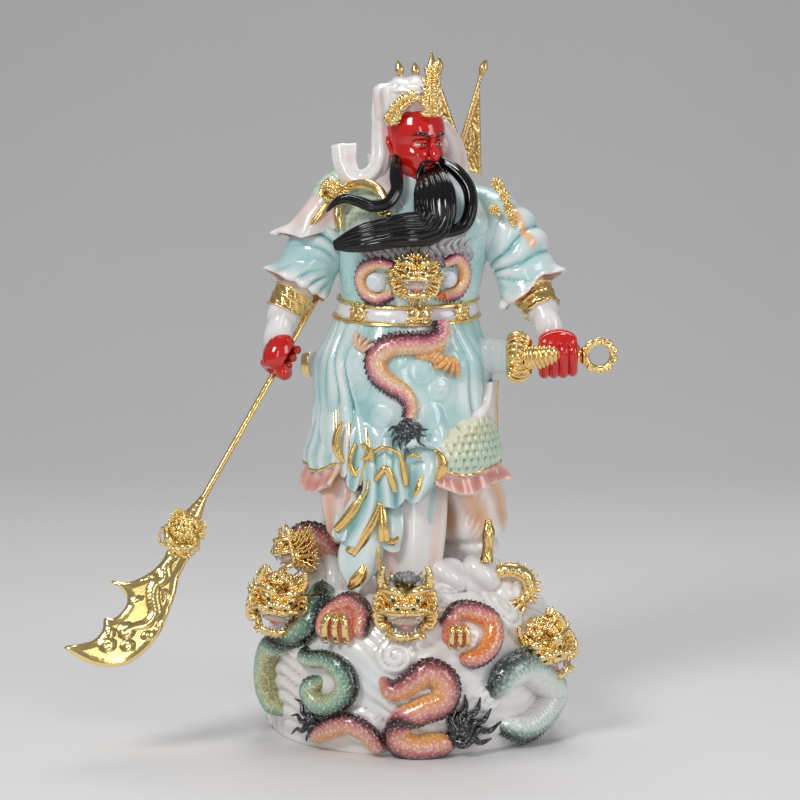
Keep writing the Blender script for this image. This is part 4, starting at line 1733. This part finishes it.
HEADCLOTH = [  # height, the middle's x and y, half width, half depth
    [262, 6, 21, 36, 14], [296, 6, 18, 33, 17], [308, 4, 15, 31, 20], [320, -2, 9, 24, 24],
    [326, -3, 5, 23, 25], [345, -4, 4, 22, 24],
]
SPRAYS = [  # line, reach of the leaves to each side
    ([(-16, -21, 322), (-11, -24, 330), (-4, -26, 335.5), (4, -27, 338)], 7),
    ([(14, -27, 326), (13, -27, 340), (14, -24, 352), (14, -21, 361)], 8.5),
]
SPRAY_LEAVES = 46
HOOD_FALL = [(8, -22, 340), (-8, -20, 342), (-19.5, -9, 339), (-21, -8, 316), (-21.5, -12, 297),
             (-25, -17, 287), (-33, -20, 282), (-41, -17, 284), (-45.5, -13, 293), (-46.5, -9, 306)]
RIBBONS = [  # line, widths, thickness, waves, their depth
    ([(22, -6, 322), (27, 0, 311), (30, 3, 300), (31, 4, 286)], [6, 12, 17, 18], 6, 1, 1),
    ([(-18, 36, 300), (-14, 44, 262), (-16, 46, 220)], [26, 30, 34], 5, 1.5, 2),
    ([(16, 38, 300), (16, 44, 262), (20, 46, 226)], [26, 30, 32], 5, 1.5, 2),
]


def build_headcloth():
    cloth = Piece("headcloth")
    gilding = Piece("crown")

    def point(turn, tier):
        z = HOOD_FOOT + (HOOD_TOP - HOOD_FOOT) * tier
        x, y, wide, deep = np.moveaxis(read_table(HEADCLOTH, z), -1, 0)
        a = np.radians(turn)
        square = (np.abs(np.sin(a)) ** 4 + np.abs(np.cos(a)) ** 4) ** -0.25 * 0.55 + 0.45
        square = square * (1 - 0.999 * np.clip((tier - 0.88) / 0.12, 0, 1) ** 5) ** (1 / 4)
        return at(x + wide * square * np.sin(a), y - deep * square * np.cos(a), z)
    turn = all_turns(170)
    z = column(HOOD_FOOT, HOOD_TOP, 71)
    hood = tower(170, 70, point)
    drape = np.sin(np.radians(turn * 9) + z / 14) * 0.9 + 0.5 * np.sin(np.radians(turn * 17) + z / 9)
    hood.colour = blend(PEARL, BLUSH, 0.55 * smooth(mottle(hood.points, 30, 9), -0.2, 1))
    hood.colour = blend(hood.colour, PEARL_SHADE, 0.4 * smooth(-drape, 0.4, 1.3))
    cloth.add(hood.push(drape))
    top = blob(at(0, 6, 345), (19, 18, 8.5), 60, 24)
    top.push(0.7 * np.sin(top.points[..., 0] / 2.2) * smooth(top.points[..., 2], 452, 456))
    cloth.add(top.paint(PEARL))
    hem = band(line_at(HOOD_FALL), [4, 7, 10, 12, 12.5, 13, 13.5, 14, 16, 18], 2.6, 80,
               lambda t, c: 1.5 * (1 - c**2) + 0.8 * np.sin(4.5 * c + 3 * t))
    hem.colour = blend(PEARL, blend(PEARL, BLUSH, 0.5), smooth(mottle(hem.points, 12, 6), 0, 1))
    cloth.add(hem)
    for row in RIBBONS:
        cloth.add(ruffle(*row, PEARL, BLUSH))
    collar = taper(line_at([(0, 4, 262), (2, 3, 284), (3, 0, 300)]), [26, 16, 12], 48, 20)
    cloth.add(collar.push(0.6 * ridges(collar.reach / 8)).paint(BLUSH))

    # A leafy spray over the brow, and the crown's tall spray with its pointed top
    chance = np.random.default_rng(2)
    for points, width in SPRAYS:
        line = along_line(line_at(points), 12)
        gilding.add(taper(line[::3], [2.0, 2.6, 2.2, 1.4], 12, 40, 0.8))
        way = unit(line[-1] - line[0])
        across = np.cross(way, FRONT)
        for k in range(SPRAY_LEAVES):
            share = (k // 2) / (SPRAY_LEAVES // 2)
            root = line[int(share * 11)]
            side = (1 if k % 2 else -1) * (1 - 0.45 * share) * width * chance.uniform(0.6, 1.1)
            rise = chance.uniform(1.5, 6.5)
            tip = root + across * side + way * rise + FRONT * chance.uniform(0.0, 2.5)
            middle = (root + tip) / 2 + FRONT * 1.8 - way * 0.8
            gilding.add(taper([root, middle, tip], [1.1, 1.8, 0.3], 8, 8, 0.6))
            if k % 3 == 0:
                gilding.add(blob(middle + FRONT * 0.8, (1.3, 1.1, 1.3), 8, 6))
    peak = line_at([(14, -23, 354), (14, -22, 361), (14, -20, 369.5)])
    gilding.add(taper(peak, [3.4, 2.6, 0.4], 14, 30, 0.6))
    cloth.make(pearly_glaze)
    gilding.make(gilt, "gilt")


# The loose metal pieces: polearm, hilt and back flags

def plate(piece, outline, thickness, axes, spacing, relief):
    """A bevelled plate from its flat outline, with relief(points, depth from the edge) on both faces."""
    outline = np.asarray(outline, float)
    count = len(outline)
    edge = []
    for k in range(count):
        a, b = outline[k], outline[(k + 1) % count]
        pieces = max(1, int(np.linalg.norm(b - a) / spacing))
        edge.extend(a + (b - a) * j / pieces for j in range(pieces))
    edge = np.array(edge)
    low, high = outline.min(0), outline.max(0)
    grid = np.stack(np.meshgrid(np.arange(low[0], high[0], spacing), np.arange(low[1], high[1], spacing)),
                    -1).reshape(-1, 2)
    grid = grid[edge_distance(grid, edge) > 0.55 * spacing]
    grid = grid[inside_outline(grid, edge)]
    flat = np.concatenate([edge, grid])
    loop = [(k, (k + 1) % len(edge)) for k in range(len(edge))]
    points, _, faces, _, _, _ = delaunay_2d_cdt(
        [tuple(p) for p in flat], loop, [list(range(len(edge)))], 1, 1e-5)
    points = np.array([tuple(p) for p in points])
    faces = np.array([f for f in faces if len(f) == 3])
    depth = edge_distance(points, edge)
    half = thickness / 2 * np.sqrt(np.clip(depth / (thickness * 0.8), 0, 1))
    raised = relief(points, depth) * smooth(depth, 0, spacing * 1.5)
    place, across, up, out = axes
    body = place + points[:, :1] * across + points[:, 1:] * up
    front = body + (half + raised)[:, None] * out
    back = body - (half + raised)[:, None] * out
    white = np.ones(front.shape)
    way = np.dot(np.cross(across, up), out) > 0
    for side, flip in ((front, not way), (back, way)):
        start = piece._points(side, white)
        piece.corners.append(start + (faces[:, ::-1] if flip else faces))


def edge_distance(points, edge):
    """How far each point lies from a closed outline."""
    after = np.roll(edge, -1, 0)
    best = np.full(len(points), 1e9)
    for a, b in zip(edge, after):
        way = b - a
        share = np.clip(((points - a) @ way) / max(way @ way, 1e-9), 0, 1)
        best = np.minimum(best, np.linalg.norm(points - a - share[:, None] * way, axis=1))
    return best


def inside_outline(points, edge):
    """Which points lie inside a closed outline."""
    inside = np.zeros(len(points), bool)
    after = np.roll(edge, -1, 0)
    for (xa, ya), (xb, yb) in zip(edge, after):
        crosses = (ya > points[:, 1]) != (yb > points[:, 1])
        with np.errstate(divide="ignore", invalid="ignore"):
            x = (xb - xa) * (points[:, 1] - ya) / (yb - ya) + xa
        inside ^= crosses & (points[:, 0] < x)
    return inside


def serpent_relief(points, spine, width, height):
    """A scaled serpent in relief along a flat spine."""
    spine = along_line(np.column_stack([spine, np.zeros(len(spine))]), 160)[:, :2]
    away = np.linalg.norm(points[:, None] - spine[None], axis=2)
    nearest = away.argmin(1)
    share = nearest / (len(spine) - 1)
    reach = width * (0.5 + 0.5 * np.sin(np.pi * np.clip(share * 0.9 + 0.1, 0, 1)))
    d = away.min(1) / reach
    body = np.sqrt(np.clip(1 - d**2, 0, 1))
    scales = np.abs(np.sin(np.pi * share * length_of(spine) / 2.4))
    return height * body * (0.75 + 0.25 * scales)


BLADE_LENGTH = 112.0
BLADE_WIDTH = 36.0
BLADE_THICKNESS = 4.4
COLLAR_LENGTH = 44.0
SHAFT_ABOVE_FIST = 60.0
SHAFT_BELOW_FIST = 120.0
SHAFT_RADIUS = 2.1
BLADE_OUTLINE = [
    [0, 0.1], [-0.02, 0.31], [0.07, 0.33], [0.15, 0.34], [0.24, 0.43], [0.33, 0.48], [0.41, 0.52],
    [0.54, 0.53], [0.66, 0.45], [0.77, 0.26], [0.83, 0], [0.86, -0.3], [0.865, -0.64], [0.85, -0.88],
    [0.785, -0.65], [0.72, -0.46], [0.65, -0.42], [0.575, -0.49], [0.56, -0.37], [0.485, -0.27],
    [0.42, -0.29], [0.385, -0.45], [0.375, -0.6], [0.37, -0.79], [0.33, -0.48], [0.26, -0.28],
    [0.17, -0.14], [0.09, -0.09], [0.03, -0.1],
]
BLADE_FACE = np.array([0.144, -0.917, 0.372])
BLADE_SERPENT = [(6, 2), (14, 0), (22, 4), (30, 1), (38, 4), (46, 10), (55, 9), (61, 3), (66, -1)]
BLADE_CLOUDS = [(66, -1, 5.5), (74, 5, 4), (80, -7, 5), (62, 13, 3), (72, -9, 3)]  # place, radius
BLADE_CLAWS = [(30, 8, 1), (42, -3, -1), (50, 14, 1), (24, -4, -1)]  # place, way
BEAST_SIZE = 12.0
COLLAR_RINGS = [(-2, 3.2), (2, 4.2), (6, 5.2), (10, 6.4)]  # distance below the neck, half width


def build_polearm():
    weapon = Piece("polearm")
    blade = Piece("polearm_blade")
    line = unit(SHAFT_LINE)
    face = unit(BLADE_FACE - np.dot(BLADE_FACE, line) * line)
    across = np.cross(face, line)
    neck = RIGHT_FIST + line * SHAFT_BELOW_FIST
    ends = [RIGHT_FIST - line * (SHAFT_ABOVE_FIST - 1), neck + line * 8]
    shaft = taper(ends, [SHAFT_RADIUS] * 2, 16, 70, 1.0, face)
    weapon.add(shaft.push(0.12 * ridges(shaft.reach / 5)))
    root = neck + line * 0.8 * COLLAR_LENGTH

    def relief(points, depth):
        serpent = serpent_relief(points, BLADE_SERPENT, 3.4, 1.1)
        for x, y, reach in BLADE_CLOUDS:
            away = np.hypot(points[:, 0] - x, points[:, 1] - y) / reach
            cloud = np.sqrt(np.clip(1 - away**2, 0, 1)) * (0.8 + 0.3 * np.cos(9 * away))
            serpent = np.maximum(serpent, 1.1 * cloud)
        for x, y, way in BLADE_CLAWS:
            claw = [(x, y), (x + 3, y + 3 * way), (x + 6, y + 4.5 * way)]
            serpent = np.maximum(serpent, serpent_relief(points, claw, 1.6, 0.7))
        channel = -0.35 * bump(depth, 3.4, 0.6)
        return np.where(serpent > 0.02, serpent, channel)
    outline = [(u * BLADE_LENGTH, v * BLADE_WIDTH) for u, v in BLADE_OUTLINE]
    smooth_outline = along_line([(x, y, 0) for x, y in outline + outline[:1]], 150)[:-1, :2]
    plate(blade, smooth_outline, BLADE_THICKNESS, (root, line, across, face), 1.25, relief)

    # The dragon's head that holds the blade in its jaws
    gold, paint = dragon_head(0.6, 0.5, mane=7)
    axes = np.stack([across, -line, np.cross(across, -line)])

    def place(points):
        return (points * BEAST_SIZE) @ axes + neck + line * (0.55 * COLLAR_LENGTH)
    blade.lay(place, gold + paint)
    for back, out in COLLAR_RINGS:
        ring = taper([neck + line * (back - 3), neck + line * (back + 1)], [out - 0.6, out], 24, 8, 1.0, face)
        weapon.add(ring)
    weapon.make(gilt, "gilt", "guandao")
    blade.make(blade_gilt, "gilt", "guandao")


GUARD_HALF_HEIGHT = 17.0
GUARD_HALF_DEPTH = 11.0
GUARD_THICKNESS = 6.0
GUARD_DOME = [[0, 0.45], [0.2, 0.84], [0.42, 1.0], [0.66, 0.9], [0.86, 0.74], [1, 0.42]]
GUARD_CURLS = 22
GRIP_RADIUS = 5.0
GRIP_LENGTH = 46.0
GRIP_RIBS = 9
POMMEL_RING_RADIUS = 9.5
POMMEL_RING_WIRE = 3.2


def build_hilt():
    hilt = Piece("sword_grip")
    line = unit(HILT_LINE)
    guard = LEFT_FIST - line * 0.52 * GRIP_LENGTH
    phi = around(72)

    def guard_section(t):
        dome = read_table(GUARD_DOME, t)[..., 0]
        r = dome * (1 + 0.045 * np.cos(10 * phi)) + 0.035 * np.sin(14 * t + 5 * phi)
        return GUARD_HALF_DEPTH * r * np.cos(phi), GUARD_HALF_HEIGHT * r * np.sin(phi)
    hilt.add(sweep([guard - line * 1.5 * GUARD_THICKNESS, guard + line * 1.6 * GUARD_THICKNESS],
                   guard_section, 32))
    for b in np.linspace(0, 2 * math.pi, GUARD_CURLS, endpoint=False):
        rim = FRONT * GUARD_HALF_DEPTH * math.cos(b) + UP * GUARD_HALF_HEIGHT * math.sin(b)
        side = UP * math.cos(b) - FRONT * math.sin(b)
        curl = [guard + rim * out + line * along + side * turn for out, along, turn in (
            (0.62, 8.5, 0), (0.9, 4.5, 0), (1, -2, 1), (0.86, -6.5, 2), (0.62, -8, 0))]
        hilt.add(taper(curl, [0.9, 1.3, 1.2, 1.1, 0.5], 8, 14))
    wrap = [guard + line * along + FRONT * out + UP * rise for along, out, rise in (
        (6, 7, 0), (13, 12, 1), (20, 14, 2.4), (27, 11.5, 3))]
    wrap = taper(wrap, [7.0, 7.6, 6.6, 3.2], 28, 90, 0.8)
    hilt.add(wrap.push(0.8 * ridges(wrap.reach / 2.6)))
    grip = taper([guard + line * 2, guard + line * GRIP_LENGTH], [GRIP_RADIUS - 0.6] * 2, 20, 80, 0.9)
    hilt.add(grip.push(0.8 * ridges(grip.reach / (GRIP_LENGTH / GRIP_RIBS))))
    for share in (0.16, 0.97):
        centre = guard + line * GRIP_LENGTH * share
        hilt.add(taper([centre - line * 1.8, centre, centre + line * 1.8], [5.2, 6.6, 5.2], 32, 12, 0.95))
    ring_middle = guard + line * (GRIP_LENGTH + POMMEL_RING_RADIUS)
    a = around(72).T
    rim = ring_middle + POMMEL_RING_RADIUS * (np.cos(a) * line + np.sin(a) * UP)
    hilt.add(hoop(rim, POMMEL_RING_WIRE * 0.82))
    for k in range(10):
        b = 2 * np.pi * k / 10 + 0.3
        out = math.cos(b) * line + math.sin(b) * UP
        tip = ring_middle + out * (POMMEL_RING_RADIUS + 1.9) + FRONT * 1.6
        side = -math.sin(b) * line + math.cos(b) * UP
        curl = [ring_middle + out * (POMMEL_RING_RADIUS - 2) - side * 2 + FRONT * 2.4, tip - side,
                tip + side * 2.4, ring_middle + out * POMMEL_RING_RADIUS + side * 2 + FRONT * 3]
        hilt.add(taper(curl, [1.1, 1.3, 1.1, 0.7], 8, 12))
    hilt.make(gilt, "gilt", "sword_hilt")


PENNANTS = [
    ([8, 37, 266], [-7, 47, 352], [-18, 56, 318]), ([13, 38, 266], [4, 50, 351], [-2, 62, 316]),
    ([18, 37, 266], [20, 44, 354], [34, 42, 313]), ([23, 36, 266], [49.5, 44, 353], [51, 46, 284]),
]
FINIAL_LENGTH = 14.0
POLE_RADIUS = 1.3


def build_flags():
    for k, (foot, top, corner) in enumerate(PENNANTS):
        flag = Piece("pennant_%d" % (k + 1))
        foot, top, corner = (at(*p) for p in (foot, top, corner))
        line = unit(top - foot)
        pole = taper([foot, top], [POLE_RADIUS] * 2, 12, 80)
        flag.add(pole.push(0.1 * ridges(pole.reach / 3)))
        finial = taper([top - line * 0.5, top + line * 2, top + line * 5, top + line * 8,
                        top + line * (FINIAL_LENGTH - 0.6)], [1.4, 2.0, 3.1, 2.2, 0.3], 16, 40, 0.7)
        flag.add(finial)
        for out in (-2.2, 0.4):
            flag.add(blob(top + line * out, (2.1, 2.1, 1.3), 14, 8))
        low = top - line * (0.62 if k < 3 else 0.75) * np.linalg.norm(top - foot)
        high = top - line * 3
        across = unit(corner - low - np.dot(corner - low, line) * line)
        out = np.cross(line, across)
        if out[1] > 0:
            out = -out
        reach = np.linalg.norm(high - low)
        tip = np.array([np.dot(corner - low, across), np.dot(corner - low, line)])
        outline = [(0.3, 0), tuple(tip * 0.98), (0.3, reach)]

        def relief(points, depth):
            spine = [(1.5, 5), (tip[0] * 0.4, reach * 0.3), (tip[0] * 0.25, reach * 0.5),
                     (tip[0] * 0.6, reach * 0.42 + tip[1] * 0.2)]
            rim = 0.9 * bump(depth, 1.3, 0.8)
            beads = 0.5 + 0.5 * np.sin((points[:, 0] + points[:, 1] * 1.3) * 2.6)
            return np.maximum(serpent_relief(points, spine, 2.6, 0.9), rim * (0.6 + 0.4 * beads)
                              ) + 0.12 * np.sin(points[:, 1] * 1.5) * np.sin(points[:, 0] * 1.7)
        plate(flag, outline, 1.6, (low, across, line, out), 0.9, relief)
        flag.make(old_gilt, "gilt", "back_flag_%d" % (k + 1))


# Floor, light and camera

LAMPS = [  # name, place, height it looks at, width, height, watts
    ("key_light", (-0.9, -1.3, 1.5), 0.25, 0.55, 0.55, 16),
    ("fill_light", (1.5, -1, 0.9), 0.25, 0.6, 1, 7),
    ("top_light", (0.1, 0.4, 1.7), 0.2, 0.8, 0.8, 9),
    ("front_strip", (0.25, -1.9, 0.7), 0.25, 0.25, 1, 3),
]
ROOM_COLOUR = (0.9, 0.93, 1.0, 1)
ROOM_STRENGTH = 0.26
CAMERA_PLACE = (-0.0077, -1.7, 0.43)
CAMERA_DROP = 6.6
LENS = 109.5
FLOOR_FRONT = -4.0
FLOOR_HALF_WIDTH = 6.0
BEND_START = 1.2
BEND_RADIUS = 1.3
WALL_TOP = 4.0


def build_floor():
    """A pale sweep that runs flat under the statue and curves up behind it."""
    path = [(FLOOR_FRONT, 0)]
    path += [(BEND_START + BEND_RADIUS * math.sin(a), BEND_RADIUS * (1 - math.cos(a)))
             for a in np.linspace(0, math.pi / 2, 40)]
    path += [(BEND_START + BEND_RADIUS, WALL_TOP)]
    points = [(x, y, z) for y, z in path for x in (-FLOOR_HALF_WIDTH, FLOOR_HALF_WIDTH)]
    faces = [(2 * i, 2 * i + 1, 2 * i + 3, 2 * i + 2) for i in range(len(path) - 1)]
    mesh = bpy.data.meshes.new("floor")
    mesh.from_pydata(points, [], faces)
    for face in mesh.polygons:
        face.use_smooth = True
    f = Finish("floor_paper")
    mesh.materials.append(f.surface(
        Base_Color=f.mix((f.noise(3.0) * 0.5).clamp(0, 1), (0.80, 0.79, 0.78), (0.86, 0.85, 0.84)),
        Roughness=0.75))
    floor = bpy.data.objects.new("floor", mesh)
    bpy.context.scene.collection.objects.link(floor)


def soft_light(name, place, aim_height, width, height, power):
    """A rectangular lamp that looks at the statue's middle line."""
    light = bpy.data.lights.new(name, "AREA")
    light.shape = "RECTANGLE"
    light.size, light.size_y, light.energy = width, height, power
    lamp = bpy.data.objects.new(name, light)
    bpy.context.scene.collection.objects.link(lamp)
    lamp.location = place
    way = np.array([0, 0, aim_height]) - place
    lamp.rotation_euler = (math.atan2(math.hypot(way[0], way[1]), -way[2]), 0,
                           math.atan2(way[1], way[0]) - math.pi / 2)


def build_studio():
    """The camera, the lamps and the room's even light."""
    camera = bpy.data.objects.new("camera", bpy.data.cameras.new("camera"))
    bpy.context.scene.collection.objects.link(camera)
    camera.location = CAMERA_PLACE
    camera.rotation_euler = (math.radians(90 - CAMERA_DROP), 0, 0)
    camera.data.sensor_width = 36
    camera.data.lens = LENS
    bpy.context.scene.camera = camera
    for row in LAMPS:
        soft_light(*row)
    world = bpy.data.worlds.new("room")
    bpy.context.scene.world = world
    world.use_nodes = True
    sky = world.node_tree.nodes["Background"].inputs
    sky["Color"].default_value = ROOM_COLOUR
    sky["Strength"].default_value = ROOM_STRENGTH
    bpy.context.scene.view_settings.view_transform = "Standard"


build_studio()
build_floor()
build_plinth()
build_robe()
build_figure_dragons()
build_body()
build_head()
build_beard()
build_headcloth()
build_polearm()
build_hilt()
build_flags()
